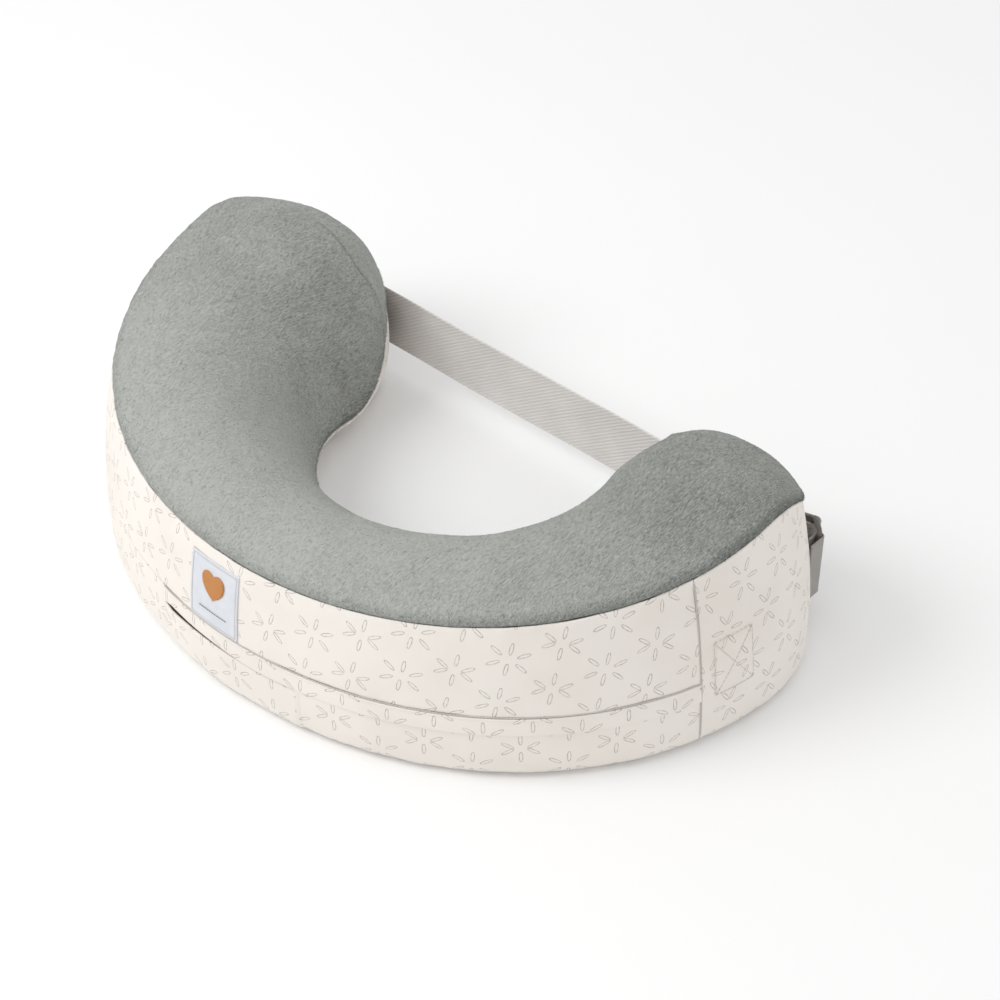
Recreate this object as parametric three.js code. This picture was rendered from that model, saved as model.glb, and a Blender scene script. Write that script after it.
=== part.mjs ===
// Nursing pillow: a C-shaped foam cushion in a sewn cover, with a waist strap across its back.
// Millimetres. +X is the wearer's left-to-right width, +Y points to the wearer (the C opens there),
// +Z is up. The origin is on the floor, at the middle of the cushion's width and depth.
import * as THREE from 'three';

// ---- driving dimensions -------------------------------------------------------------------
const crestRadius = 184;          // plan radius of the crest line at the middle of the front
const crestSpread = 0.368;        // how much the crest line moves out towards the horns
const crestTuck = -0.16;
const hornAngle = THREE.MathUtils.degToRad(96);
const outerReach = { front: 41.5, spread: 25, tuck: -5.5 };    // crest line to outer seam
const innerReach = { front: 98.5, spread: -1.5, tuck: -3.6 };  // crest line to inner seam
const hornReach = 91;             // crest line's end to the tip of the horn
const hornSquareness = 2.42;
const outerSeamHeight = { front: 127.5, spread: 19, tuck: 11 };
const innerSeamHeight = { front: 33, spread: -8 };
const tipSeamHeight = 107;
const tipSeamPower = 3;           // how quickly the seam leaves its side height on the tips
const crestRise = { front: 13.5, spread: 3.5 };                // crest above the outer seam
const crownPower = { outer: 1.68, inner: 1.72, innerSpread: 0.59 };
const wallLean = { outerFront: 10.5, outerSpread: 11.5, inner: -28, tip: 1 };   // at the foot
const wallBulge = { outer: 4.3, inner: 7 };
const floorEdge = { outer: 11, inner: 5 };       // radius of the rounded edge at the floor
const circleY = 54.18;            // the crest line's centre, placed so that the origin is central

const plushThickness = 2.2;
const fabricThickness = 1.8;
const foamInset = 4.8;
const gap = 0.35;                 // between pieces that touch or are sewn together
const baseSeam = 1.5;             // the base is sewn to the walls half-way round the floor edge

// Places along the outline: 0 to 1 is the outside from the left horn to the right horn,
// 1 to 2 the right tip, 2 to 3 the inside from right to left, 3 to 4 the left tip.
const endPanelSeam = 0.071;
const tipSeam = 0.5;
const placketStart = 0.4115;
const bandOverlap = 0.5925;
const labelSpan = [0.458, 0.524];
const anchorSpan = { boxStitch: 0.94, tabSeam: 1.25 };

const placketSeamHeight = 60;
const lipBottom = 46.5;
const lipProud = 2.4;
const leftBandTop = 41;
const rightBandTop = 50;
const labelHeights = [61.5, 118];

// The zip follows a circle close behind the front wall; angles are in degrees from the front.
const zip = { centreY: circleY + 89.8, radius: 319.4, height: 51, from: -11.5, to: 50 };
const coil = { height: 2.2, depth: 2, gap: 1.9 };
const tape = { height: 12, depth: 0.6 };
const slider = { length: 11, height: 8.5, depth: 4.6, plate: 0.9, post: 0.9, start: -9 };
const stopLength = 4;

// The strap lies behind the horns' tips. Each end goes round a ring and folds back on itself.
const strap = { width: 56, bottom: 24, thickness: 1.6, y: circleY + 120.1 };
const tabBar = { x: 268, y: circleY + 114 };
const strapBar = { x: 255, y: circleY + 124.9 };
const ring = { wire: 2, clearance: 2 };
const turnRadius = 4.8;           // the strap's centreline round its bar, with room to swivel
const fold = { end: 236, tailEnd: 206, padThickness: 1.1, padInset: 4 };
const tab = { thickness: 1.4, offWall: 0.8, wallSpan: 0.03 };

// ---- materials ----------------------------------------------------------------------------
const finish = (color, roughness, metalness = 0) =>
  new THREE.MeshStandardMaterial({ color, roughness, metalness });
const plush = finish(0xa3a69f, 0.95);
const cotton = finish(0xf1ece2, 0.9);
const foam = finish(0xeee6c8, 0.9);
const webbing = finish(0xc4c1bb, 0.85);
const labelCloth = finish(0xdfe2e8, 0.8);
const zipCloth = finish(0xe6e1d6, 0.85);
const zipPlastic = finish(0xd9d4c8, 0.5);
const darkMetal = finish(0x3d3c3a, 0.35, 0.6);
const hookCloth = finish(0x6b6964, 0.95);

const pillow = new THREE.Group();

function addPart(name, geometry, material) {
  const mesh = new THREE.Mesh(geometry, material);
  mesh.name = name;
  pillow.add(mesh);
  return mesh;
}

// ---- closed solids from grids of points -----------------------------------------------------
// Vertices at the same place are shared, and faces that collapse to a line are left out.
class SolidBuilder {
  constructor() {
    this.positions = [];
    this.triangles = [];
    this.indexOf = new Map();
  }

  vertex(point) {
    const key = point.map((value) => Math.round(value * 1e4)).join(',');
    if (!this.indexOf.has(key)) {
      this.indexOf.set(key, this.positions.length / 3);
      this.positions.push(...point);
    }
    return this.indexOf.get(key);
  }

  triangle(a, b, c) {
    if (a !== b && b !== c && c !== a) this.triangles.push(a, b, c);
  }

  quad(a, b, c, d) {
    const corners = [a, b, c, d].map((point) => this.vertex(point));
    this.triangle(corners[0], corners[1], corners[2]);
    this.triangle(corners[0], corners[2], corners[3]);
  }

  grid(rows, flipped) {
    for (let i = 0; i + 1 < rows.length; i += 1) {
      for (let j = 0; j + 1 < rows[i].length; j += 1) {
        const corners = [rows[i][j], rows[i][j + 1], rows[i + 1][j + 1], rows[i + 1][j]];
        if (flipped) corners.reverse();
        this.quad(...corners);
      }
    }
  }

  signedVolume() {
    const corner = (k) => new THREE.Vector3().fromArray(this.positions, 3 * this.triangles[k]);
    let volume = 0;
    for (let k = 0; k < this.triangles.length; k += 3) {
      volume += corner(k).dot(corner(k + 1).cross(corner(k + 2))) / 6;
    }
    return volume;
  }

  geometry() {
    if (this.signedVolume() < 0) this.triangles.reverse();
    const result = new THREE.BufferGeometry();
    result.setAttribute('position', new THREE.Float32BufferAttribute(this.positions, 3));
    result.setIndex(this.triangles);
    result.computeVertexNormals();
    return result;
  }
}

// ---- the cushion's outer surface --------------------------------------------------------------
const mix = (a, b, share) => a + (b - a) * share;
const evenSteps = (from, to, count) =>
  Array.from({ length: count + 1 }, (_, k) => mix(from, to, k / count));
const along = (law, t) => law.front + law.spread * t ** 2 + (law.tuck ?? 0) * t ** 4;

function crestPoint(t) {
  const angle = t * hornAngle;
  const radius = crestRadius * (1 + crestSpread * t ** 2 + crestTuck * t ** 4);
  return new THREE.Vector2(radius * Math.sin(angle), circleY - radius * Math.cos(angle));
}

function crestTangent(t) {
  const step = 1e-4;
  return crestPoint(t + step).sub(crestPoint(t - step)).normalize();
}

// One place on the outline: where its section starts on the crest line, and how the section runs.
function outlineAt(anyPlace) {
  const place = anyPlace % 4;
  const side = Math.floor(place);
  const share = place - side;
  const sideT = [mix(-1, 1, share), 1, mix(1, -1, share), -1][side];
  const tangent = crestTangent(sideT);
  const outward = new THREE.Vector2(tangent.y, -tangent.x);
  const outer = along(outerReach, sideT);
  const inner = along(innerReach, sideT);
  const leanOuter = wallLean.outerFront + wallLean.outerSpread * sideT ** 2;
  const turn = side === 0 ? 0 : side === 2 ? Math.PI : Math.PI * (side === 1 ? share : 1 - share);
  const towardsOuter = Math.cos(turn);
  const towardsTip = Math.sin(turn);
  const bend = 2 / hornSquareness;
  const offset = new THREE.Vector2();
  const isTip = side % 2 === 1 && share > 0 && share < 1;
  if (isTip) {
    const reach = towardsOuter > 0 ? outer : inner;
    offset.addScaledVector(outward, reach * Math.sign(towardsOuter) * Math.abs(towardsOuter) ** bend);
    offset.addScaledVector(tangent, sideT * hornReach * towardsTip ** bend);
  } else {
    offset.addScaledVector(outward, towardsOuter > 0 ? outer : -inner);
  }
  const sideName = towardsOuter > 0 ? 'outer' : 'inner';
  const sideShare = isTip ? Math.abs(towardsOuter) ** tipSeamPower : 1;
  const sideSeam = towardsOuter > 0 ? along(outerSeamHeight, sideT) : along(innerSeamHeight, sideT);
  const sideLean = towardsOuter > 0 ? leanOuter : wallLean.inner;
  const innerPower = crownPower.inner + crownPower.innerSpread * sideT ** 2;
  return {
    base: crestPoint(sideT),
    direction: offset.clone().normalize(),
    reach: offset.length(),
    seam: mix(tipSeamHeight, sideSeam, sideShare),
    crest: along(outerSeamHeight, sideT) + along(crestRise, sideT),
    lean: mix(wallLean.tip, sideLean, sideShare),
    edge: mix(floorEdge.outer, floorEdge[sideName], sideShare),
    bulge: mix(wallBulge.outer, wallBulge[sideName], sideShare),
    power: mix(crownPower.outer, innerPower, turn / Math.PI),
  };
}

// The section from the middle of the base (0) along the base (1), round the floor edge (2),
// up the wall to the seam (3) and over the crown to the crest line (4), as [outwards, up].
function sectionPoint(spot, level) {
  const foot = spot.reach + spot.lean;
  if (level <= 1) return [(foot - spot.edge) * level, 0];
  if (level <= 2) {
    const angle = (level - 1) * Math.PI / 2;
    const out = foot - spot.edge + spot.edge * Math.sin(angle);
    return [out, spot.edge * (1 - Math.cos(angle))];
  }
  if (level <= 3) {
    const rise = level - 2;
    const out = spot.reach + spot.lean * (1 - rise) + 4 * spot.bulge * rise * (1 - rise);
    return [out, mix(spot.edge, spot.seam, rise)];
  }
  if (level >= 4) return [0, spot.crest];
  const angle = (level - 3) * Math.PI / 2;
  const bend = 2 / spot.power;
  const up = spot.seam + (spot.crest - spot.seam) * Math.sin(angle) ** bend;
  return [spot.reach * Math.cos(angle) ** bend, up];
}

function sectionNormal(spot, level) {
  if (level <= 1) return [0, -1];
  if (level >= 4) return [0, 1];
  const step = 0.004;
  const low = sectionPoint(spot, Math.max(1, level - step));
  const high = sectionPoint(spot, Math.min(4, level + step));
  const length = Math.hypot(high[0] - low[0], high[1] - low[1]);
  return [(high[1] - low[1]) / length, -(high[0] - low[0]) / length];
}

// A point of the cushion at an outline place and section level, sunk by inset under the surface.
function surfacePoint(spot, level, inset) {
  const [out, up] = sectionPoint(spot, level);
  const [normalOut, normalUp] = sectionNormal(spot, level);
  const reach = out - inset * normalOut;
  return [
    spot.base.x + spot.direction.x * reach,
    spot.base.y + spot.direction.y * reach,
    up - inset * normalUp,
  ];
}

const levelAtHeight = (spot, height) => 2 + (height - spot.edge) / (spot.seam - spot.edge);
const levelUnderSeam = (spot) => 3 - gap / (spot.seam - spot.edge);
const levelOverBase = (spot) => baseSeam + gap / (spot.edge * Math.PI / 2);

// All pieces share the same places along the outline, so that neighbours meet along the same edges.
const sideSteps = 24;
const tipSteps = 16;
const frontSeams = [endPanelSeam, 1 - endPanelSeam, placketStart, bandOverlap, ...labelSpan];
const anchorEdges = [anchorSpan.boxStitch, 1 - anchorSpan.boxStitch];
const sidePlaces = [...new Set([...evenSteps(0, 1, sideSteps), ...frontSeams, ...anchorEdges])]
  .sort((a, b) => a - b);
const insidePlaces = sidePlaces.map((place) => 3 - place).reverse();
const tipPlaces = (start) => evenSteps(start, start + 1, tipSteps).slice(1, -1);
const outlinePlaces = [...sidePlaces, ...tipPlaces(1), ...insidePlaces, ...tipPlaces(3)];
const wholeOutline = [...outlinePlaces, 0];

// The shared places from one place to another; a stretch past 4 goes on round the left horn.
function outlineBetween(from, to) {
  const twice = [...outlinePlaces, ...outlinePlaces.map((place) => place + 4)];
  const margin = 0.004;
  return [from, ...twice.filter((place) => place > from + margin && place < to - margin), to];
}

// A layer of the cover between two insets. from and to are section levels, or functions of the
// outline place. A layer round the whole outline closes on itself, and one that starts at level 0
// or ends at level 4 closes on the crest line, so it needs no rim there.
function coverLayer(places, from, to, levelSteps, topInset, bottomInset) {
  const levelOf = (limit, spot) => (typeof limit === 'function' ? limit(spot) : limit);
  const sheet = (inset) => places.map((place) => {
    const spot = outlineAt(place);
    const levels = evenSteps(levelOf(from, spot), levelOf(to, spot), levelSteps);
    return levels.map((level) => surfacePoint(spot, level, inset));
  });
  const top = sheet(topInset);
  const bottom = sheet(bottomInset);
  const builder = new SolidBuilder();
  builder.grid(top, false);
  builder.grid(bottom, true);
  const rim = (rows, k) => rows.map((row) => row.at(k));
  if (from !== 0) builder.grid([rim(bottom, 0), rim(top, 0)], true);
  if (to !== 4) builder.grid([rim(top, -1), rim(bottom, -1)], true);
  if (places[0] !== places.at(-1)) {
    builder.grid([bottom[0], top[0]], false);
    builder.grid([top.at(-1), bottom.at(-1)], false);
  }
  return builder.geometry();
}

const wallPiece = (from, to, low, high, levelSteps, topInset = 0, bottomInset = fabricThickness) =>
  coverLayer(outlineBetween(from, to), low, high, levelSteps, topInset, bottomInset);

// ---- foam, plush top and base ------------------------------------------------------------------
// The foam is relieved behind the placket, where the zip runs.
function foamCore() {
  const levels = [...evenSteps(0, 1, 2), 1.5, ...evenSteps(2, 3, 7), ...evenSteps(3.2, 4, 4)];
  const reliefDepth = 8;
  const rows = wholeOutline.map((place) => {
    const spot = outlineAt(place);
    return levels.map((level) => {
      const [, up] = sectionPoint(spot, level);
      const inRelief = place > 0.34 && place < 0.9 && up > 20 && up < 80;
      return surfacePoint(spot, level, foamInset + (inRelief ? reliefDepth : 0));
    });
  });
  const builder = new SolidBuilder();
  builder.grid(rows, false);
  return builder.geometry();
}

addPart('foam_core', foamCore(), foam);
addPart('plush_top_panel', coverLayer(wholeOutline, 3, 4, 7, 0, plushThickness), plush);
addPart('base_panel', coverLayer(wholeOutline, 0, baseSeam, 4, 0, fabricThickness), cotton);

// ---- cover walls ------------------------------------------------------------------------------
const outlineGap = 0.0005;
const heightLevel = (height) => (spot) => levelAtHeight(spot, height);
const rightEndSeam = 1 - endPanelSeam;

addPart('front_wall_panel', wallPiece(endPanelSeam + outlineGap, rightEndSeam - outlineGap,
  heightLevel(placketSeamHeight), levelUnderSeam, 3), cotton);
addPart('placket_lip', wallPiece(placketStart, rightEndSeam - 2 * outlineGap,
  heightLevel(lipBottom), heightLevel(placketSeamHeight - gap), 2, -lipProud, -gap), cotton);
addPart('front_lower_band_left', wallPiece(placketStart + outlineGap, bandOverlap - outlineGap,
  levelOverBase, heightLevel(leftBandTop), 3), cotton);
addPart('front_lower_band_right', wallPiece(bandOverlap, rightEndSeam - outlineGap,
  levelOverBase, heightLevel(rightBandTop), 3), cotton);
addPart('front_lower_wall', wallPiece(endPanelSeam + outlineGap, placketStart - outlineGap,
  levelOverBase, heightLevel(placketSeamHeight - gap), 4), cotton);
addPart('woven_label', wallPiece(...labelSpan, heightLevel(labelHeights[0]),
  heightLevel(labelHeights[1]), 2, -1.1, -gap), labelCloth);

// The end panels run from the front wall round the outer corner of each horn, to its tip.
addPart('right_end_panel', wallPiece(rightEndSeam + outlineGap, 1 + tipSeam,
  levelOverBase, levelUnderSeam, 5), cotton);
addPart('left_end_panel', wallPiece(4 - tipSeam, 4 + endPanelSeam - outlineGap,
  levelOverBase, levelUnderSeam, 5), cotton);
const tipGap = 0.002;
addPart('inner_wall_panel', wallPiece(1 + tipSeam + tipGap, 4 - tipSeam - tipGap,
  levelOverBase, levelUnderSeam, 5), cotton);

// Webbing inside each end panel runs from its box stitch to the seam where the ring tab comes out.
const anchorStretch = {
  right: [anchorSpan.boxStitch, anchorSpan.tabSeam],
  left: [5 - anchorSpan.tabSeam, 5 - anchorSpan.boxStitch],
};

// ---- zip ----------------------------------------------------------------------------------------
function arcBar(radius, depth, bottom, height, fromDegrees, toDegrees) {
  const toAngle = (degrees) => THREE.MathUtils.degToRad(degrees - 90);
  const section = new THREE.Shape();
  section.absarc(0, zip.centreY, radius + depth / 2, toAngle(fromDegrees), toAngle(toDegrees), false);
  section.absarc(0, zip.centreY, radius - depth / 2, toAngle(toDegrees), toAngle(fromDegrees), true);
  section.closePath();
  const segments = Math.max(1, Math.round((toDegrees - fromDegrees) / 3));
  const bar = new THREE.ExtrudeGeometry(section, {
    depth: height,
    bevelEnabled: false,
    curveSegments: segments,
  });
  return bar.translate(0, 0, bottom);
}

const coilInnerEdge = coil.gap / 2;
const coilOuterEdge = coilInnerEdge + coil.height;
for (const [name, sign] of [['upper', 1], ['lower', -1]]) {
  const bottomOf = (from, size) => (sign > 0 ? zip.height + from : zip.height - from - size);
  addPart(`zip_coil_${name}`, arcBar(zip.radius, coil.depth, bottomOf(coilInnerEdge, coil.height),
    coil.height, zip.from, zip.to), zipPlastic);
  addPart(`zip_tape_${name}`, arcBar(zip.radius, tape.depth, bottomOf(coilOuterEdge + gap, tape.height),
    tape.height, zip.from - 1, zip.to + 1), zipCloth);
}

const stopAngle = THREE.MathUtils.radToDeg(stopLength / zip.radius);
const gapAngle = THREE.MathUtils.radToDeg(gap / zip.radius);
for (const [name, from] of [['left', zip.from - stopAngle - gapAngle], ['right', zip.to + gapAngle]]) {
  addPart(`zip_stop_${name}`, arcBar(zip.radius, coil.depth, zip.height - coilOuterEdge,
    2 * coilOuterEdge, from, from + stopAngle), zipPlastic);
}

// The slider is two plates joined by a post that runs between the coils.
function zipSlider() {
  const halfDepth = slider.depth / 2;
  const halfHeight = slider.height / 2;
  const halfPost = slider.post / 2;
  const inside = halfDepth - slider.plate;
  const section = new THREE.Shape([
    [-halfDepth, -halfHeight], [-inside, -halfHeight], [-inside, -halfPost], [inside, -halfPost],
    [inside, -halfHeight], [halfDepth, -halfHeight], [halfDepth, halfHeight], [inside, halfHeight],
    [inside, halfPost], [-inside, halfPost], [-inside, halfHeight], [-halfDepth, halfHeight],
  ].map(([x, y]) => new THREE.Vector2(x, y)));
  const body = new THREE.ExtrudeGeometry(section, { depth: slider.length, bevelEnabled: false });
  body.translate(0, 0, -slider.length / 2);
  body.rotateX(Math.PI / 2);
  body.rotateZ(Math.PI / 2);
  body.translate(0, -zip.radius, 0);
  body.rotateZ(THREE.MathUtils.degToRad(slider.start));
  return body.translate(0, zip.centreY, zip.height);
}
addPart('zip_slider', zipSlider(), darkMetal);

// ---- strap, its rings and its anchors ------------------------------------------------------------
// A band of webbing on edge: a line in plan, given thickness and pulled up to the strap's width.
function webbingBand(line, thickness, width, bottom) {
  const edge = (sign) => line.map((point, k) => {
    const before = line[Math.max(0, k - 1)];
    const after = line[Math.min(line.length - 1, k + 1)];
    const run = new THREE.Vector2(after[0] - before[0], after[1] - before[1]).normalize();
    const half = sign * thickness / 2;
    return new THREE.Vector2(point[0] - run.y * half, point[1] + run.x * half);
  });
  const section = new THREE.Shape([...edge(1), ...edge(-1).reverse()]);
  const band = new THREE.ExtrudeGeometry(section, { depth: width, bevelEnabled: false });
  return band.translate(0, 0, bottom);
}

function arcLine(centre, radius, fromDegrees, toDegrees, count) {
  return evenSteps(fromDegrees, toDegrees, count).map((degrees) => {
    const angle = THREE.MathUtils.degToRad(degrees);
    return [centre.x + radius * Math.cos(angle), centre.y + radius * Math.sin(angle)];
  });
}

const anchorInset = fabricThickness + 0.8;
const anchorThickness = 1.1;
const mirrored = (line, side) => line.map(([x, y]) => [side * x, y]);
const padDepth = fold.padThickness + gap;
const tailY = strap.y + strap.thickness + 2 * padDepth + gap;

function strapLine() {
  const rightEnd = [
    ...arcLine(strapBar, turnRadius, -90, 90, 8),
    [fold.end + 4, tailY + 0.5],
    [fold.end, tailY],
  ];
  const leftEnd = mirrored(rightEnd, -1).reverse();
  return [...leftEnd, ...rightEnd];
}
addPart('waist_strap', webbingBand(strapLine(), strap.thickness, strap.width, strap.bottom), webbing);

function ringGeometry(side) {
  const centre = [(tabBar.x + strapBar.x) / 2, (tabBar.y + strapBar.y) / 2];
  const span = new THREE.Vector2(tabBar.x - strapBar.x, tabBar.y - strapBar.y);
  const halfLength = span.length() / 2;
  const across = span.normalize();
  const halfHeight = strap.width / 2 + ring.clearance + ring.wire;
  const middle = strap.bottom + strap.width / 2;
  const corner = 4;
  const path = [];
  for (const [sx, sz, start] of [[1, 1, 0], [-1, 1, 90], [-1, -1, 180], [1, -1, 270]]) {
    for (const degrees of evenSteps(start, start + 90, 4)) {
      const angle = THREE.MathUtils.degToRad(degrees);
      const outward = new THREE.Vector2(Math.cos(angle), Math.sin(angle));
      path.push({
        at: [sx * (halfLength - corner) + corner * outward.x, sz * (halfHeight - corner) + corner * outward.y],
        outward,
      });
    }
  }
  path.push(path[0]);
  const rows = path.map(({ at, outward }) => evenSteps(0, 2 * Math.PI, 8).map((turn) => {
    const out = ring.wire * Math.cos(turn);
    const aside = ring.wire * Math.sin(turn);
    const flat = at[0] + outward.x * out;
    const x = centre[0] + across.x * flat - across.y * aside;
    const y = centre[1] + across.y * flat + across.x * aside;
    return [side * x, y, middle + at[1] + outward.y * out];
  }));
  const builder = new SolidBuilder();
  builder.grid(rows, false);
  return builder.geometry();
}

// The tab is a hairpin of webbing round the ring's inner bar, sewn into the end panel's back seam.
// Its legs stop just off the wall, along the wall's own line.
function tabLine() {
  const wallAt = (place) => {
    const spot = outlineAt(place);
    const [x, y] = surfacePoint(spot, levelAtHeight(spot, strap.bottom), -tab.offWall);
    return new THREE.Vector2(x, y);
  };
  const seam = wallAt(anchorSpan.tabSeam);
  const wallRun = wallAt(anchorSpan.tabSeam + tab.wallSpan).sub(wallAt(anchorSpan.tabSeam - tab.wallSpan));
  const run = new THREE.Vector2(seam.x - tabBar.x, seam.y - tabBar.y).normalize();
  const heading = THREE.MathUtils.radToDeg(run.angle());
  const radius = ring.wire + gap + tab.thickness / 2;
  const turn = arcLine(tabBar, radius, heading + 90, heading + 270, 8);
  const legEnd = ([x, y]) => {
    const length = new THREE.Vector2(seam.x - x, seam.y - y).cross(wallRun) / run.cross(wallRun);
    return [x + run.x * length, y + run.y * length];
  };
  return [legEnd(turn[0]), ...turn, legEnd(turn.at(-1))];
}

for (const [name, side] of [['left', -1], ['right', 1]]) {
  const pad = (from, to, y) => webbingBand(mirrored([[from, y], [to, y]], side), fold.padThickness,
    strap.width - 2 * fold.padInset, strap.bottom + fold.padInset);
  const padEnds = [fold.tailEnd + fold.padInset, fold.end - fold.padInset];
  const loopPadY = strap.y + (strap.thickness + fold.padThickness) / 2 + gap;
  addPart(`${name}_strap_ring`, ringGeometry(side), darkMetal);
  addPart(`${name}_ring_tab`, webbingBand(mirrored(tabLine(), side), tab.thickness, strap.width,
    strap.bottom), webbing);
  addPart(`${name}_anchor_webbing`, wallPiece(...anchorStretch[name], heightLevel(strap.bottom),
    heightLevel(strap.bottom + strap.width), 5, anchorInset, anchorInset + anchorThickness), webbing);
  addPart(`${name}_strap_tail`, webbingBand(
    mirrored([[fold.tailEnd, tailY], [fold.end - gap, tailY]], side),
    strap.thickness, strap.width, strap.bottom), webbing);
  addPart(`${name}_loop_pad`, pad(...padEnds, loopPadY), hookCloth);
  addPart(`${name}_hook_pad`, pad(...padEnds, loopPadY + padDepth), hookCloth);
}

export default pillow;
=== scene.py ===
"""Nursing pillow: a plush-topped C-shaped cushion with printed cotton walls and a waist strap.

Lengths are in millimetres until mesh_object() turns them into metres.
"""
import math

import bmesh
import bpy
import numpy as np
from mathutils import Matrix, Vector
from mathutils.kdtree import KDTree


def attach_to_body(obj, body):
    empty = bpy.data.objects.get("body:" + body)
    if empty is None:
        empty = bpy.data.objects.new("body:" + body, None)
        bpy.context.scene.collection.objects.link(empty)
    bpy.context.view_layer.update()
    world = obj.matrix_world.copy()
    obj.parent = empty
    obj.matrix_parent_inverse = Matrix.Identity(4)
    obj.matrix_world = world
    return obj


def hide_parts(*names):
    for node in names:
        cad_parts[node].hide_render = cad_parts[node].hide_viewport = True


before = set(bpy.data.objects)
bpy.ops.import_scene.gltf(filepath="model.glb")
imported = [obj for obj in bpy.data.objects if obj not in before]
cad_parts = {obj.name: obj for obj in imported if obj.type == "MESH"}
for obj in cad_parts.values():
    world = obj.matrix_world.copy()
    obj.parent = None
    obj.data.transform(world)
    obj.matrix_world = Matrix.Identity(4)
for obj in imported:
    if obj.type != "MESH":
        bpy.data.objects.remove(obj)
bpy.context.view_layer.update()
MM = 0.001

# ---- driving dimensions, as the frame was designed ----
# Three numbers a, b, c stand for a + b * t ** 2 + c * t ** 4 along the cushion, where t goes from -1
# at the left horn through 0 at the front to 1 at the right horn.
CIRCLE_Y = 54.18
CREST_RADIUS = 184
CREST_SPREAD = 0.368
CREST_TUCK = -0.16
HORN_ANGLE = math.radians(96)
OUTER_REACH = (41.5, 25, -5.5)
INNER_REACH = (98.5, -1.5, -3.6)
HORN_REACH = 91
HORN_SQUARENESS = 2.42
OUTER_SEAM_HEIGHT = (127.5, 19, 11)
INNER_SEAM_HEIGHT = (33, -8, 0)
TIP_SEAM_HEIGHT = 107
TIP_SEAM_POWER = 3
CREST_RISE = (13.5, 3.5, 0)
OUTER_CROWN_POWER = 1.68
INNER_CROWN_POWER = (1.72, 0.59, 0)
OUTER_LEAN = (10.5, 11.5, 0)
INNER_LEAN = -28
TIP_LEAN = 1
WALL_BULGE = 4.3
INNER_WALL_BULGE = 7
FLOOR_EDGE = 11
INNER_FLOOR_EDGE = 5
FOAM_INSET = 4.8
ZIP_RELIEF = 8

# Places along the outline: 0 to 1 outside from left to right, 1 to 2 the right tip,
# 2 to 3 inside from right to left, 3 to 4 the left tip.
END_SEAM = 0.071
TIP_SEAM = 0.5
PLACKET_START = 0.4115
BAND_OVERLAP = 0.5925
LABEL_SPAN = (0.458, 0.524)
BOX_STITCH = (0.028, 0.06)        # from the horn's outer corner
BOX_HEIGHTS = (44, 91)
ANCHOR_START = 0.06
TAB_SEAM = 0.25
DART = 0.79                       # on each tip, from its outer side to its inner side
DART_BEND = 0.17

BASE_SEAM = 1.5
PLACKET_SEAM_HEIGHT = 60
LIP_BOTTOM = 46
BAND_TOP = 42.6
RIGHT_BAND_TOP = 50
LABEL_HEIGHTS = (61.5, 118)
LABEL_THICKNESS = 0.8

SIDE_LENGTH = 900                 # the outside from horn to horn, roughly
CLOTH = 1.6
PLUSH = 2.2
SEAM_ROLLS = (0.1, 0.1, 0.4, 0.4)  # how far a panel's start, end, low and high edges turn under

SIDES = ((-1, "left"), (1, "right"))

STRAP_WIDTH = 56
STRAP_BOTTOM = 24
STRAP_THICKNESS = 1.6
STRAP_Y = CIRCLE_Y + 120.1
STRAP_BAR = (255, CIRCLE_Y + 124.9)
TAB_BAR = (268, CIRCLE_Y + 114)
TURN_RADIUS = 4.8
FOLD_END = 236
TAIL_END = 206
TAIL_Y = 179.13
PAD_THICKNESS = 1.1
PAD_INSET = 4
PAD_GAP = 0.35
HEM_INSET = 2
TAB_THICKNESS = 1.4
RING_WIRE = 2
RING_CLEARANCE = 2
RING_CORNER = 4


# ---- the cushion's surface ----
def along(law, t):
    """The value at t of a dimension that is given by three numbers."""
    return law[0] + law[1] * t ** 2 + law[2] * t ** 4


def mix(a, b, share):
    return a + (b - a) * share


def unit(vectors):
    return vectors / np.maximum(np.linalg.norm(vectors, axis=-1, keepdims=True), 1e-9)


def crest_point(t):
    """The crest line in plan, from the left horn at t = -1 to the right horn at t = 1."""
    angle = t * HORN_ANGLE
    radius = CREST_RADIUS * (1 + CREST_SPREAD * t ** 2 + CREST_TUCK * t ** 4)
    return np.stack([radius * np.sin(angle), CIRCLE_Y - radius * np.cos(angle)], -1)


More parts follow.
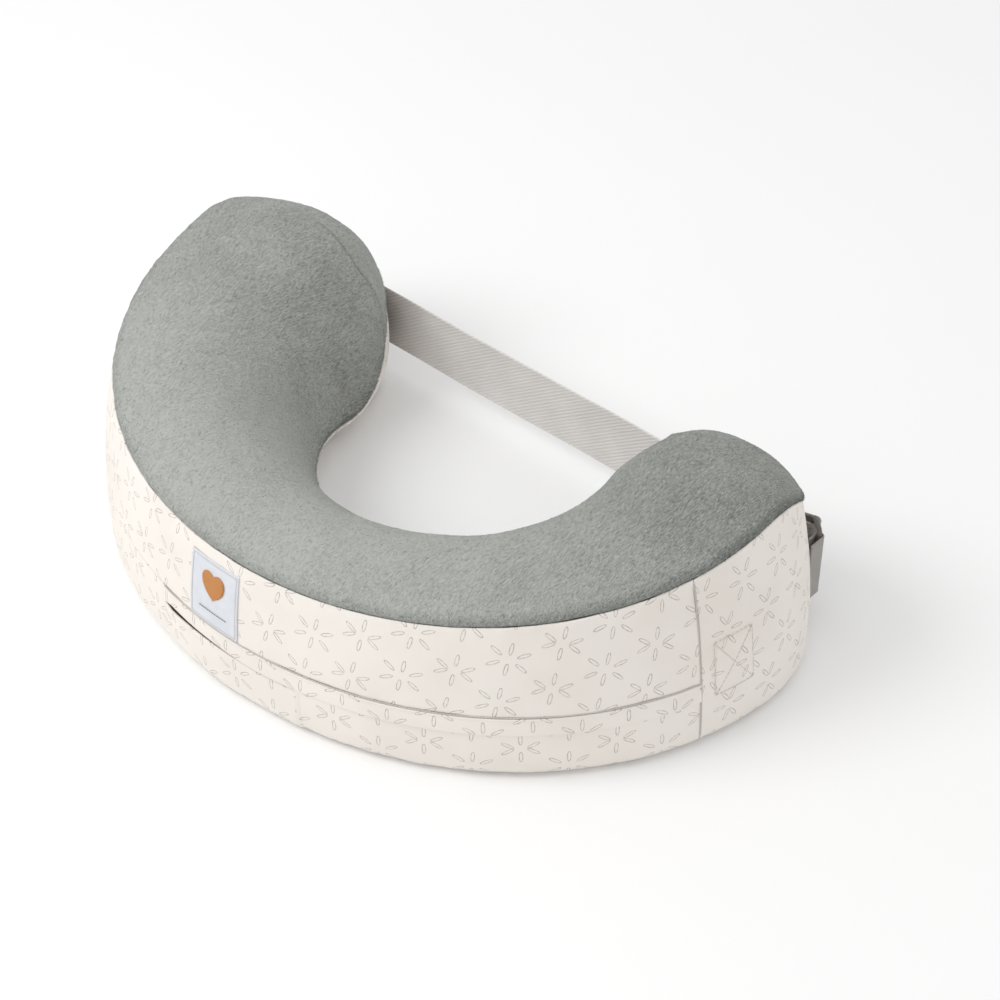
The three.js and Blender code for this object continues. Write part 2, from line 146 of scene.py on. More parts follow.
class Outline:
    """Where each section of the cushion starts on the crest line, and how it runs."""

    def __init__(self, places):
        place = np.asarray(places, float) % 4
        side = np.floor(place).astype(int)
        share = place - side
        t = np.choose(side, [2 * share - 1, 1 + 0 * share, 1 - 2 * share, -1 + 0 * share])
        step = 1e-4
        tangent = unit(crest_point(t + step) - crest_point(t - step))
        outward = np.stack([tangent[:, 1], -tangent[:, 0]], -1)
        turn = math.pi * np.choose(side, [0 * share, share, 1 + 0 * share, 1 - share])
        to_outer = np.cos(turn)
        to_tip = np.abs(np.sin(turn))
        on_tip = (side % 2 == 1) & (share > 0)
        outer = to_outer > 0
        reach = np.where(outer, along(OUTER_REACH, t), along(INNER_REACH, t))
        bend = 2 / HORN_SQUARENESS
        sideways = np.where(on_tip, np.sign(to_outer) * np.abs(to_outer) ** bend, np.sign(to_outer))
        forwards = np.where(on_tip, to_tip ** bend, 0)
        offset = outward * (reach * sideways)[:, None]
        offset += tangent * (t * HORN_REACH * forwards)[:, None]
        side_share = np.where(on_tip, np.abs(to_outer) ** TIP_SEAM_POWER, 1)
        side_seam = np.where(outer, along(OUTER_SEAM_HEIGHT, t), along(INNER_SEAM_HEIGHT, t))
        side_lean = np.where(outer, along(OUTER_LEAN, t), INNER_LEAN)
        self.base = crest_point(t)
        self.reach = np.linalg.norm(offset, axis=1)
        self.direction = offset / self.reach[:, None]
        self.seam = mix(TIP_SEAM_HEIGHT, side_seam, side_share)
        self.crest = along(OUTER_SEAM_HEIGHT, t) + along(CREST_RISE, t)
        self.lean = mix(TIP_LEAN, side_lean, side_share)
        self.edge = mix(FLOOR_EDGE, np.where(outer, FLOOR_EDGE, INNER_FLOOR_EDGE), side_share)
        self.bulge = mix(WALL_BULGE, np.where(outer, WALL_BULGE, INNER_WALL_BULGE), side_share)
        self.power = mix(OUTER_CROWN_POWER, along(INNER_CROWN_POWER, t), turn / math.pi)

    def section(self, levels):
        """[outwards, up] at section levels: 0 to 1 the base, 2 the floor edge's top, 3 the seam,
        4 the crest line. levels has one row for each place."""
        reach, seam, crest = (x[:, None] for x in (self.reach, self.seam, self.crest))
        lean, radius, bend = self.lean[:, None], self.edge[:, None], 2 / self.power[:, None]
        foot = reach + lean
        edge = np.clip(levels - 1, 0, 1) * math.pi / 2
        rise = np.clip(levels - 2, 0, 1)
        crown = np.clip(levels - 3, 0, 1) * math.pi / 2
        over = np.where(levels >= 4, 0, np.cos(crown)) ** bend
        out_floor = (foot - radius) * np.clip(levels, 0, 1) + radius * np.sin(edge)
        bulge = self.bulge[:, None]
        out_wall = reach + lean * (1 - rise) + 4 * bulge * rise * (1 - rise)
        out = np.where(levels <= 2, out_floor, np.where(levels <= 3, out_wall, reach * over))
        up_floor = radius * (1 - np.cos(edge))
        up_wall = mix(radius, seam, rise)
        up_crown = seam + (crest - seam) * np.sin(crown) ** bend
        up = np.where(levels <= 2, up_floor, np.where(levels <= 3, up_wall, up_crown))
        return out, up

    def normals(self, levels):
        step = 0.004
        low = self.section(np.clip(levels - step, 1, 4))
        high = self.section(np.clip(levels + step, 1, 4))
        out, up = high[1] - low[1], low[0] - high[0]
        length = np.hypot(out, up) + 1e-9
        out, up = out / length, up / length
        flat = (levels <= 1) | (levels >= 4)
        out = np.where(flat, 0, out)
        up = np.where(levels <= 1, -1, np.where(levels >= 4, 1, up))
        return out, up

    def points(self, levels, lift=0):
        """Points of the cushion, raised along the section's normal by lift."""
        out, up = self.section(levels)
        normal_out, normal_up = self.normals(levels)
        out = out + lift * normal_out
        up = up + lift * normal_up
        plan = self.base[:, None, :] + self.direction[:, None, :] * out[..., None]
        return np.concatenate([plan, up[..., None]], -1)

    def level_at(self, height):
        return 2 + (height - self.edge) / (self.seam - self.edge)


def eased(start, end, count, ease=0.7):
    """Steps from start to end that crowd together at both ends."""
    u = np.linspace(0, 1, count + 1)
    return mix(start, end, u - ease * np.sin(2 * math.pi * u) / (2 * math.pi))


# ---- smooth noise, the same in every run ----
def smooth_noise(points, scale, seed):
    """Value noise between -1 and 1 at points (..., 3), for cells of the given scale."""
    cell = np.asarray(points) / scale + 1000
    whole = np.floor(cell).astype(np.int64)
    part = cell - whole
    part = part * part * (3 - 2 * part)
    total = 0
    for corner in np.ndindex(2, 2, 2):
        at = whole + np.array(corner)
        mixed = at[..., 0] * 374761393 + at[..., 1] * 668265263 + at[..., 2] * 2147483647 + seed * 974711
        mixed = (mixed ^ (mixed >> 13)) * 1274126177
        value = ((mixed ^ (mixed >> 16)) & 0xFFFF) / 32767.5 - 1
        weight = np.prod(np.where(np.array(corner) == 1, part, 1 - part), axis=-1)
        total = total + value * weight
    return total


# ---- meshes ----
def mesh_object(name, points, faces, material, uv=None, smooth=True):
    """A Blender object from points in millimetres. uv holds one pair for each point."""
    mesh = bpy.data.meshes.new(name)
    mesh.from_pydata((np.asarray(points) * MM).tolist(), [], faces)
    if uv is not None:
        layer = mesh.uv_layers.new(name="UVMap")
        corner_point = np.empty(len(mesh.loops), np.int32)
        mesh.loops.foreach_get("vertex_index", corner_point)
        layer.data.foreach_set("uv", np.asarray(uv, np.float32)[corner_point].ravel())
    mesh.polygons.foreach_set("use_smooth", [smooth] * len(mesh.polygons))
    mesh.materials.append(material)
    obj = bpy.data.objects.new(name, mesh)
    bpy.context.scene.collection.objects.link(obj)
    return obj


def tidy_mesh(obj):
    """Joins points at the same place and makes the faces point outwards."""
    work = bmesh.new()
    work.from_mesh(obj.data)
    bmesh.ops.remove_doubles(work, verts=work.verts, dist=2e-6)
    bmesh.ops.dissolve_degenerate(work, edges=work.edges, dist=1e-7)
    bmesh.ops.recalc_face_normals(work, faces=work.faces)
    work.to_mesh(obj.data)
    work.free()
    return obj


def grid_faces(rows, columns, start=0, flipped=False):
    i, j = np.meshgrid(np.arange(rows - 1), np.arange(columns - 1), indexing="ij")
    a = (start + i * columns + j).ravel()
    quads = np.stack([a, a + 1, a + columns + 1, a + columns], -1)
    if flipped:
        quads = quads[:, ::-1]
    return quads.tolist()


def slab(name, top, bottom, material, uv=None, close_rows=True, close_columns=(True, True)):
    """A closed sheet between two grids of points, top and bottom."""
    rows, columns = top.shape[:2]
    count = rows * columns
    faces = grid_faces(rows, columns) + grid_faces(rows, columns, count, True)
    index = np.arange(count).reshape(rows, columns)
    rims = []
    if close_rows:
        rims += [index[0], index[-1]]
    rims += [index[:, k] for k, wanted in zip((0, -1), close_columns) if wanted]
    for rim in rims:
        for a, b in zip(rim[:-1], rim[1:]):
            faces.append([a, b, b + count, a + count])
    points = np.concatenate([top.reshape(-1, 3), bottom.reshape(-1, 3)])
    both_uv = None if uv is None else np.concatenate([uv.reshape(-1, 2)] * 2)
    return tidy_mesh(mesh_object(name, points, faces, material, both_uv))


# ---- cloth simulation of the whole cover ----
SIM_SIDE, SIM_TIP, SIM_LEVELS = 72, 22, 34
SIM_FRAMES = 20
SIM_CAP = 5.0                      # the furthest that a point may move
HELD_LEVEL, HELD_PLACE = 0.04, 0.009  # how near a seam a point is held, in levels and places
HELD_BASE = 1.3                    # the level up to which the base is held
CLOTH_SETTINGS = {
    "quality": 5, "mass": 0.3, "tension_stiffness": 12, "compression_stiffness": 12,
    "shear_stiffness": 5, "bending_stiffness": 0.4, "use_pressure": True,
    "uniform_pressure_force": 4, "vertex_group_mass": "seams",
}


def nearest_tree(points):
    tree = KDTree(len(points))
    for k, point in enumerate(points):
        tree.insert(Vector(point), k)
    tree.balance()
    return tree


def simulate_cover():
    """Blows the sewn cover up a little over its foam, held at its seams. Returns where each point of
    an even grid of places and levels goes."""
    places = np.concatenate([
        np.linspace(0, 1, SIM_SIDE, False), np.linspace(1, 2, SIM_TIP, False),
        np.linspace(2, 3, SIM_SIDE, False), np.linspace(3, 4, SIM_TIP, False), [4],
    ])
    levels = np.concatenate([[0, 0.5, 1], np.linspace(1.25, 2, 4), np.linspace(2, 4, SIM_LEVELS)[1:]])
    outline = Outline(places)
    grid = outline.points(np.tile(levels, (len(places), 1)))
    moved = np.zeros_like(grid)
    rows, columns = grid.shape[:2]
    obj = mesh_object("cover_simulation", grid.reshape(-1, 3), grid_faces(rows, columns),
                      bpy.data.materials.new("simulation"))
    tidy_mesh(obj)
    group = obj.vertex_groups.new(name="seams")
    rest = np.array([v.co for v in obj.data.vertices]) / MM
    flat_grid = grid.reshape(-1, 3)
    tree = nearest_tree(flat_grid)
    owner = np.array([tree.find(Vector(p))[1] for p in rest])
    level_of = np.tile(levels, rows)[owner]
    place_of = np.repeat(places % 4, columns)[owner]
    on_seam = np.abs(level_of - 3) < HELD_LEVEL
    for seam in (END_SEAM, 1 - END_SEAM, 1 + TIP_SEAM, 4 - TIP_SEAM):
        on_seam |= (np.abs(place_of - seam) < HELD_PLACE) & (level_of < 3) & (level_of > 1)
    held = on_seam | (level_of <= HELD_BASE)
    group.add(np.nonzero(held)[0].tolist(), 1.0, "REPLACE")
    cloth = obj.modifiers.new("cloth", "CLOTH").settings
    for setting, value in CLOTH_SETTINGS.items():
        setattr(cloth, setting, value)
    cloth.effector_weights.gravity = 0
    scene = bpy.context.scene
    for number in range(1, SIM_FRAMES + 1):
        scene.frame_set(number)
    shape = obj.evaluated_get(bpy.context.evaluated_depsgraph_get()).to_mesh()
    after = np.array([v.co for v in shape.vertices]) / MM
    scene.frame_set(1)
    travel = after - rest
    length = np.linalg.norm(travel, axis=1)[:, None] + 1e-9
    travel *= np.minimum(length, SIM_CAP) / length
    rest_tree = nearest_tree(rest)
    moved = travel[[rest_tree.find(Vector(p))[1] for p in flat_grid]].reshape(grid.shape)
    bpy.data.objects.remove(obj)
    return places, levels, moved


SIM_PLACES, SIM_LEVEL_ROWS, SIM_MOVED = simulate_cover()


def blown(places, levels):
    """The simulated movement at any places and levels, interpolated."""
    place = np.asarray(places) % 4
    i = np.clip(np.searchsorted(SIM_PLACES, place, "right") - 1, 0, len(SIM_PLACES) - 2)
    j = np.clip(np.searchsorted(SIM_LEVEL_ROWS, levels, "right") - 1, 0, len(SIM_LEVEL_ROWS) - 2)
    u = ((place - SIM_PLACES[i]) / (SIM_PLACES[i + 1] - SIM_PLACES[i]))[:, None, None]
    v = ((levels - SIM_LEVEL_ROWS[j]) / (SIM_LEVEL_ROWS[j + 1] - SIM_LEVEL_ROWS[j]))[..., None]
    i = i[:, None]
    low = mix(SIM_MOVED[i, j], SIM_MOVED[i + 1, j], u)
    high = mix(SIM_MOVED[i, j + 1], SIM_MOVED[i + 1, j + 1], u)
    return mix(low, high, v)


def cover_points(outline, places, levels, lift=0):
    """Points of the sewn and filled cover, raised along the section's normal by lift."""
    return outline.points(levels, lift) + blown(places, levels)


def cover_layer(outline, places, levels, lift, thickness):
    """The top and bottom points of a layer of cloth on the cover."""
    return [cover_points(outline, places, levels, lift - under) for under in (0, thickness)]


# ---- material helpers ----
def feed(tree, entry, value):
    """Gives a node's input a field, another node's output or a plain value."""
    value = value.socket if isinstance(value, Field) else value
    if isinstance(value, bpy.types.NodeSocket):
        tree.links.new(value, entry)
    else:
        entry.default_value = (*value, 1) if entry.type == "RGBA" else value


def add_node(tree, kind, inputs=None, **settings):
    """Adds a node to a material. Its inputs are given by name or number."""
    node = tree.nodes.new(kind)
    for name, value in settings.items():
        setattr(node, name, value)
    for name, value in (inputs or {}).items():
        feed(tree, node.inputs[name], value)
    return node


class Field:
    """A number in a material's nodes that can be used in arithmetic."""

    def __init__(self, tree, socket):
        self.tree = tree
        self.socket = socket

    def math(self, operation, *others):
        entries = dict(enumerate((self, *others)))
        node = add_node(self.tree, "ShaderNodeMath", entries, operation=operation)
        return Field(self.tree, node.outputs[0])

    def __add__(self, other):
        return self.math("ADD", other)

    def __sub__(self, other):
        return self.math("SUBTRACT", other)

    def __mul__(self, other):
        return self.math("MULTIPLY", other)

    def __truediv__(self, other):
        return self.math("DIVIDE", other)

    def ramp(self, start, end):
        """0 where the field is at start and 1 where it is at end, smooth between."""
        entries = {"Value": self, "From Min": start, "From Max": end}
        node = add_node(self.tree, "ShaderNodeMapRange", entries, interpolation_type="SMOOTHSTEP")
        return Field(self.tree, node.outputs["Result"])


def wave(field, period):
    """A smooth wave from 0 to 1 with the given period."""
    return (field * (2 * math.pi / period)).math("SINE") * 0.5 + 0.5


class Material:
    """A Principled material, with helpers for the patterns on it."""

    def __init__(self, name, roughness, **sockets):
        self.material = bpy.data.materials.new(name)
        self.material.use_nodes = True
        self.tree = self.material.node_tree
        self.shader = self.tree.nodes["Principled BSDF"]
        for socket, value in {"Roughness": roughness, **sockets}.items():
            feed(self.tree, self.shader.inputs[socket.replace("_", " ")], value)
        self.where = self.coordinates("Object")

    def coordinates(self, kind):
        """Where the shaded point is, in millimetres."""
        source = add_node(self.tree, "ShaderNodeTexCoord")
        entries = {0: source.outputs[kind], "Scale": 1 / MM}
        return add_node(self.tree, "ShaderNodeVectorMath", entries, operation="SCALE").outputs[0]

    def axes(self, kind):
        node = add_node(self.tree, "ShaderNodeSeparateXYZ", {0: self.coordinates(kind)})
        return [Field(self.tree, output) for output in node.outputs]

    def noise(self, size, detail=2, stretch=(1, 1, 1)):
        """Noise from 0 to 1 whose features are about size across, longer where stretch is over 1."""
        entries = {"Vector": self.where, "Scale": [1 / (size * s) for s in stretch]}
        mapping = add_node(self.tree, "ShaderNodeMapping", entries)
        entries = {"Vector": mapping.outputs[0], "Scale": 1, "Detail": detail}
        return Field(self.tree, add_node(self.tree, "ShaderNodeTexNoise", entries).outputs[0])

    def random(self, a, b):
        """A number from 0 to 1 for each pair a, b."""
        joined = add_node(self.tree, "ShaderNodeCombineXYZ", {0: a, 1: b})
        node = add_node(self.tree, "ShaderNodeTexWhiteNoise", {"Vector": joined.outputs[0]})
        return Field(self.tree, node.outputs["Value"])

    def colour(self, share, start, end):
        """Colours the surface: start where share is 0 and end where it is 1."""
        node = add_node(self.tree, "ShaderNodeMix", {"Factor": share}, data_type="RGBA")
        ends = [socket for socket in node.inputs if socket.type == "RGBA"]
        for entry, value in zip(ends, (start, end)):
            feed(self.tree, entry, value)
        result = [socket for socket in node.outputs if socket.type == "RGBA"][0]
        feed(self.tree, self.shader.inputs["Base Color"], result)
        return result

    def bump(self, height, depth):
        """Raises the shading by height (0 to 1) times depth, in millimetres."""
        node = add_node(self.tree, "ShaderNodeBump", {"Height": height, "Distance": depth * MM})
        feed(self.tree, self.shader.inputs["Normal"], node.outputs[0])


# ---- materials ----
def plush_material():
    """Short pile that lies towards +Y: fine strokes in clumps, over a grey-green ground."""
    made = Material("plush", 0.88, Sheen_Weight=0.3, Sheen_Roughness=0.45,
                    Sheen_Tint=(0.86, 0.88, 0.84), Specular_IOR_Level=0.1)
    pile = made.noise(0.75, stretch=(0.8, 4.5, 1.2))
    clumps = made.noise(3.2, stretch=(0.7, 3.5, 1))
    x, y, _ = made.axes("Object")
    # The large noise is the pile's random tone. The two ramps are painted light: lighter towards the front
    # (-Y) and darker towards +X, as if lit from the front left.
    brushed_and_painted_light = made.noise(42) * 0.15 + y.ramp(90, -150) * 0.14 - x.ramp(40, 240) * 0.055
    # Painted shade: the pile is darker within 12 mm of its seam, where it rolls under onto the wall.
    from_seam = made.axes("UV")[1]
    tone = pile * 0.58 + clumps * 0.17 + brushed_and_painted_light - from_seam.ramp(12, 0) * 0.14 - 0.01
    made.colour(tone.ramp(0.13, 0.67), (0.13, 0.135, 0.125), (0.47, 0.482, 0.455))
    made.bump(pile * 0.8 + clumps * 0.1, 1.4)
    return made.material


PRINT_COLUMN, PRINT_ROW = 34, 38   # how far apart the bursts are
PRINT_TILT = 0.06                  # how far a burst may be turned, in radians
PETAL_START, PETAL_LENGTH, PETAL_HALF_WIDTH, PETAL_LINE = 3.8, 9.6, 1.25, 0.3
# Where a side petal of each of the two kinds of burst starts, and where it heads.
SPREAD_PETAL = ((5.75, 2.7), (0.85, 0.527))
JOINED_PETAL = ((5.0, 0.6), (0.857, 0.515))


def petal_distance(x, y, start, heading):
    """Distance from the outline of a petal, which is a long ellipse."""
    half = PETAL_LENGTH / 2
    dx = x - (start[0] + heading[0] * half)
    dy = y - (start[1] + heading[1] * half)
    along_it = (dx * heading[0] + dy * heading[1]) / half
    across_it = (dx * heading[1] - dy * heading[0]) / PETAL_HALF_WIDTH
    size = (along_it * along_it + across_it * across_it).math("SQRT")
    steep_along, steep_across = along_it / half, across_it / PETAL_HALF_WIDTH
    slope = (steep_along * steep_along + steep_across * steep_across).math("SQRT")
    return (size * (size - 1) / slope).math("ABSOLUTE")


def cotton_material():
    """Cream cotton with a fine weave, printed with thin outlined bursts of six petals."""
    made = Material("printed_cotton", 0.82, Sheen_Weight=0.12, Sheen_Roughness=0.5,
                    Specular_IOR_Level=0.2)
    u, v, _ = made.axes("UV")
    tone = made.noise(60).ramp(0.35, 0.75)
    cloth = made.colour(tone, (0.85, 0.805, 0.75), (0.81, 0.76, 0.705))
    made.bump(wave(u, 0.6) * wave(v, 0.6) * 0.1 + made.noise(16, 3) * 0.9, 0.7)
    column = (u / PRINT_COLUMN).math("FLOOR")
    joined = column.math("FLOORED_MODULO", 2.0)
    x = (u / PRINT_COLUMN - column - 0.5) * PRINT_COLUMN
    shifted = v / PRINT_ROW + joined * 0.5
    row = shifted.math("FLOOR")
    y = (shifted - row - 0.5) * PRINT_ROW
    tilt = made.random(column, row) * (2 * PRINT_TILT) - PRINT_TILT
    cosine, sine = tilt.math("COSINE"), tilt.math("SINE")
    across = (x * cosine + y * sine).math("ABSOLUTE")
    upright = (y * cosine - x * sine).math("ABSOLUTE")
    petals = petal_distance(across, upright, (0, PETAL_START), (0, 1))
    start, heading = ([joined * (b - a) + a for a, b in zip(*pair)]
                      for pair in zip(SPREAD_PETAL, JOINED_PETAL))
    petals = petals.math("MINIMUM", petal_distance(across, upright, start, heading))
    worn = made.noise(3).ramp(0.3, 0.7) * 0.5 + 0.35
    made.colour(petals.ramp(PETAL_LINE + 0.18, PETAL_LINE - 0.12) * worn, cloth, (0.36, 0.32, 0.285))
    return made.material


TWILL_SLOPE, TWILL_RIB = 1.44, 4.9
PAINTED_SHADE_SPAN = (125, 200)               # distances from the middle where the webbing gets darker


def webbing_material():
    """Twill webbing with slanting ribs. Near its ends it is darkened by painted shade, for the shadow of the
    horns.
    """
    made = Material("webbing", 0.7, Sheen_Weight=0.2, Sheen_Roughness=0.4, Specular_IOR_Level=0.3)
    u, v, _ = made.axes("UV")
    cloth = wave(v * TWILL_SLOPE - u, TWILL_RIB) * 0.7 + wave(u + v * 0.3, 1.0) * 0.3
    # Painted shade: the webbing gets darker towards the horns, where their shadow falls on it.
    painted_shade = made.axes("Object")[0].math("ABSOLUTE").ramp(*PAINTED_SHADE_SPAN) * 0.65
    tone = cloth * 0.2 + made.noise(30) * 0.25 - painted_shade + 0.27
    made.colour(tone.ramp(-0.35, 0.85), (0.29, 0.27, 0.255), (0.90, 0.87, 0.84))
    made.bump(cloth, 0.35)
    return made.material


def grained_material(name, colour, roughness, grain, depth, **sockets):
    """A material with fine grain and a little variation in its colour."""
    made = Material(name, roughness, **sockets)
    speckle = made.noise(grain, 3)
    tone = speckle * 0.6 + made.noise(25, 1) * 0.4
    made.colour(tone.ramp(0.25, 0.75), [0.86 * c for c in colour], [min(1, 1.1 * c) for c in colour])
    made.bump(speckle, depth)
    return made.material


def label_material():
    """Satin label cloth with fine ribs."""
    made = Material("label_cloth", 0.45, Sheen_Weight=0.1, Specular_IOR_Level=0.35)
    u, v, _ = made.axes("UV")
    ribs = wave(v, 0.7) * 0.7 + wave(u, 0.9) * 0.3
    tone = ribs * 0.3 + made.noise(9) * 0.7
    made.colour(tone.ramp(0.2, 0.8), (0.64, 0.66, 0.71), (0.72, 0.74, 0.785))
    made.bump(ribs, 0.12)
    return made.material


def floor_material():
    """Plain white floor with hardly any variation."""
    made = Material("floor", 0.95, Specular_IOR_Level=0.1)
    made.colour(made.noise(400, 1), (0.94, 0.94, 0.94), (0.96, 0.96, 0.96))
    return made.material


def thread_material(name, colour):
    """Sewing thread, with its twist."""
    made = Material(name, 0.55, Sheen_Weight=0.2)
    x, y, z = made.axes("Object")
    twist = wave(x + y + z * 1.3, 0.5)
    made.colour(twist, [0.75 * c for c in colour], colour)
    made.bump(twist, 0.12)
    return made.material


PLUSH_CLOTH = plush_material()
COTTON = cotton_material()
WEBBING = webbing_material()
LABEL = label_material()
EMBLEM_THREAD = thread_material("emblem_thread", (0.80, 0.34, 0.08))
GREY_THREAD = thread_material("grey_thread", (0.25, 0.26, 0.30))
CREAM_THREAD = thread_material("cream_thread", (0.82, 0.77, 0.71))
STRAP_THREAD = thread_material("strap_thread", (0.40, 0.38, 0.35))
FOAM = grained_material("foam", (0.85, 0.79, 0.58), 0.9, 1.5, 0.6)
RING = grained_material("ring_plastic", (0.13, 0.118, 0.105), 0.45, 0.8, 0.04)
SLIDER = grained_material("slider_metal", (0.55, 0.53, 0.50), 0.35, 1.2, 0.03, Metallic=0.8)
ZIP_PLASTIC = grained_material("zip_plastic", (0.70, 0.66, 0.58), 0.5, 0.7, 0.1)
# Painted shade: the zip tape is coloured dark brown so that the slit in the placket reads as a shadowed gap.
ZIP_TAPE_PAINTED_SHADE = grained_material("zip_cloth", (0.34, 0.29, 0.23), 0.85, 0.6, 0.2)
HOOK_CLOTH = grained_material("hook_and_loop", (0.16, 0.15, 0.14), 0.9, 0.8, 0.8, Sheen_Weight=0.3)


def attach(piece, body="cushion", nodes=()):
    """Makes a piece ride on a body and hides the CAD parts that it stands for."""
    if nodes:
        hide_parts(*nodes)
    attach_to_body(piece, body)
    return piece


# ---- cover: the wall ----
def arc_lengths(points):
    """How far along its line each point lies. points is (..., count, 2 or 3)."""
    steps = np.linalg.norm(np.diff(points, axis=-2), axis=-1)
    return np.concatenate([np.zeros(steps.shape[:-1] + (1,)), np.cumsum(steps, -1)], -1)


def points_along(points, distance, at):
    """Points at given distances along a line."""
    return np.stack([np.interp(at, distance, column) for column in points.T], -1)


def edge_roll(distance, radius):
    """How an edge that turns under drops, at distances from the edge."""
    part = 1 - np.clip(distance / radius, 0, 1)
    return radius * (np.sqrt(1 - part ** 2) - 1)


def bell(distance, width):
    return np.exp(-(distance / width) ** 2)


def gathers(points, distance, depth, seed):
    """Small puckers that run away from a seam and fade out."""
    flattened = points * np.array([1, 1, 0.12])
    ripple = smooth_noise(flattened, 10, seed) + 0.6 * smooth_noise(flattened, 4.5, seed + 1)
    return depth * ripple * np.exp(-distance / 8)


WALL_STEPS = 420                   # grid steps for each unit of place
WALL_STEP_HEIGHT = 1.8


def wall_piece(name, span, low, high, seed, raised=0, ridges=(0, 0, 0, 0), gathered=(1, 1, 1, 1),
               print_angle=0, print_shift=(0, 0), dents=None, rolls=SEAM_ROLLS):
    """One panel of the wall. span is where it starts and ends on the outline, low and high are section
    levels as functions of the outline. ridges and gathered are for its start, end, low and high edge."""
    places = eased(*span, max(6, round((span[1] - span[0]) * WALL_STEPS)), 0.4)
    outline = Outline(places)
    start, end = low(outline)[:, None], high(outline)[:, None]
    height = np.mean((end - start) * (outline.seam - outline.edge)[:, None])
    levels = mix(start, end, eased(0, 1, max(6, round(height / WALL_STEP_HEIGHT)), 0.5))
    flat = cover_points(outline, places, levels)
    run = arc_lengths(flat[:, flat.shape[1] // 2])[:, None] + np.zeros(levels.shape)
    rise = arc_lengths(flat)
    distances = (run, run[-1:] - run, rise, rise[:, -1:] - rise)
    lift = raised * (1 - bell(distances[3], 4)) + 0.45 * smooth_noise(flat, 34, seed)
    for number, distance in enumerate(distances):
        lift = lift + edge_roll(distance, rolls[number])
        lift = lift + ridges[number] * bell(distance - rolls[number], 1.8)
        lift = lift + gathers(flat, distance, 0.4 * gathered[number], seed + 2 + 2 * number)
    if dents is not None:
        lift = lift + dents(places, flat)
    top, bottom = cover_layer(outline, places, levels, lift, CLOTH)
    cosine, sine = math.cos(math.radians(print_angle)), math.sin(math.radians(print_angle))
    uv = np.stack([run * cosine - rise * sine, run * sine + rise * cosine], -1) + print_shift
    piece = slab(name, top, bottom, COTTON, uv * MM)
    return attach(piece, nodes=[name])


def at_height(height):
    return lambda outline: outline.level_at(height)


def at_level(level):
    return lambda outline: np.full(len(outline.seam), level)


at_base = at_level(BASE_SEAM)
at_seam = at_level(2.997)          # a little under the seam

GAPE_LENGTH, GAPE_START = 0.13, 0.012  # how far along the outline the placket gapes, and starts to
SLIT_CLOSED = 0.9                  # how far the lip stays above the band where the placket is closed


def slit_height(places):
    """The placket lip's lower edge: it gapes at its left end and closes by the middle."""
    closing = np.clip((places - PLACKET_START) / GAPE_LENGTH, 0, 1)
    return mix(LIP_BOTTOM, BAND_TOP + SLIT_CLOSED, closing ** 2 * (3 - 2 * closing))


def lip_edge(outline):
    """The lip's lower edge as a section level."""
    angle = np.arctan2(outline.base[:, 0], CIRCLE_Y - outline.base[:, 1])
    places = 0.5 + 0.5 * angle / HORN_ANGLE
    return outline.level_at(slit_height(places))


def placket_mouth(depth):
    """At its left end the placket gapes: the band under the slit stands out and the lip lies back."""
    def dents(places, points):
        open_share = 1 - np.clip((places - PLACKET_START) / GAPE_LENGTH, 0, 1)
        open_share *= np.clip((places - PLACKET_START) / GAPE_START, 0, 1)
        return depth * open_share[:, None] * bell(points[..., 2] - BAND_TOP, 6)
    return dents


def box_shape(side):
    """How the webbing under an end panel shows: a low plateau with the stitched box sunk into it."""
    def dents(places, points):
        from_corner = ((1 - places) if side > 0 else (places - 4))[:, None]
        z = points[..., 2]
        to_start = (BOX_STITCH[1] - from_corner) * SIDE_LENGTH
        to_end = (from_corner - BOX_STITCH[0]) * SIDE_LENGTH
        to_start, to_end, low, high = np.broadcast_arrays(
            to_start, to_end, z - BOX_HEIGHTS[0], BOX_HEIGHTS[1] - z)
        plateau = np.clip(np.minimum.reduce([to_start, low, high]) / 4, 0, 1)
        plateau = plateau * np.clip((from_corner + TAB_SEAM) / 0.1, 0, 1)
        inside = np.minimum.reduce([to_start, to_end, low, high])
        return 0.7 * plateau - 0.4 * bell(inside, 1.3)
    return dents


SEAM_GAP = 0.0001                  # from a panel's edge to the middle of its seam
LIP_GAP = 0.3
RIGHT_SEAM = 1 - END_SEAM

wall_piece("front_wall_panel", (END_SEAM + SEAM_GAP, RIGHT_SEAM - SEAM_GAP),
           at_height(PLACKET_SEAM_HEIGHT), at_seam, 100, gathered=(1, 1, 0.5, 1.4), print_angle=12)
wall_piece("placket_lip", (PLACKET_START, RIGHT_SEAM - 2 * SEAM_GAP), lip_edge,
           at_height(PLACKET_SEAM_HEIGHT - LIP_GAP), 120, raised=1.3, ridges=(0, 0, 0, 1.6),
           gathered=(0, 0.5, 0.3, 0.6), print_shift=(13, 20), rolls=(1, 0.1, 1, 0.3),
           dents=placket_mouth(-1.6))
wall_piece("front_lower_band_left", (PLACKET_START + SEAM_GAP, BAND_OVERLAP - SEAM_GAP),
           at_base, at_height(BAND_TOP), 140, raised=0.2, gathered=(0.5, 0, 1, 0.3), print_shift=(5, 31),
           dents=placket_mouth(1.8))
wall_piece("front_lower_band_right", (BAND_OVERLAP, RIGHT_SEAM - SEAM_GAP),
           at_base, at_height(RIGHT_BAND_TOP), 160, ridges=(0.9, 0, 0, 0), gathered=(0.5, 1, 1, 0),
           print_shift=(21, 9))
wall_piece("front_lower_wall", (END_SEAM + SEAM_GAP, PLACKET_START - SEAM_GAP),
           at_base, at_height(PLACKET_SEAM_HEIGHT - LIP_GAP), 180, gathered=(1, 0.6, 1, 0.4),
           print_shift=(0, -8))
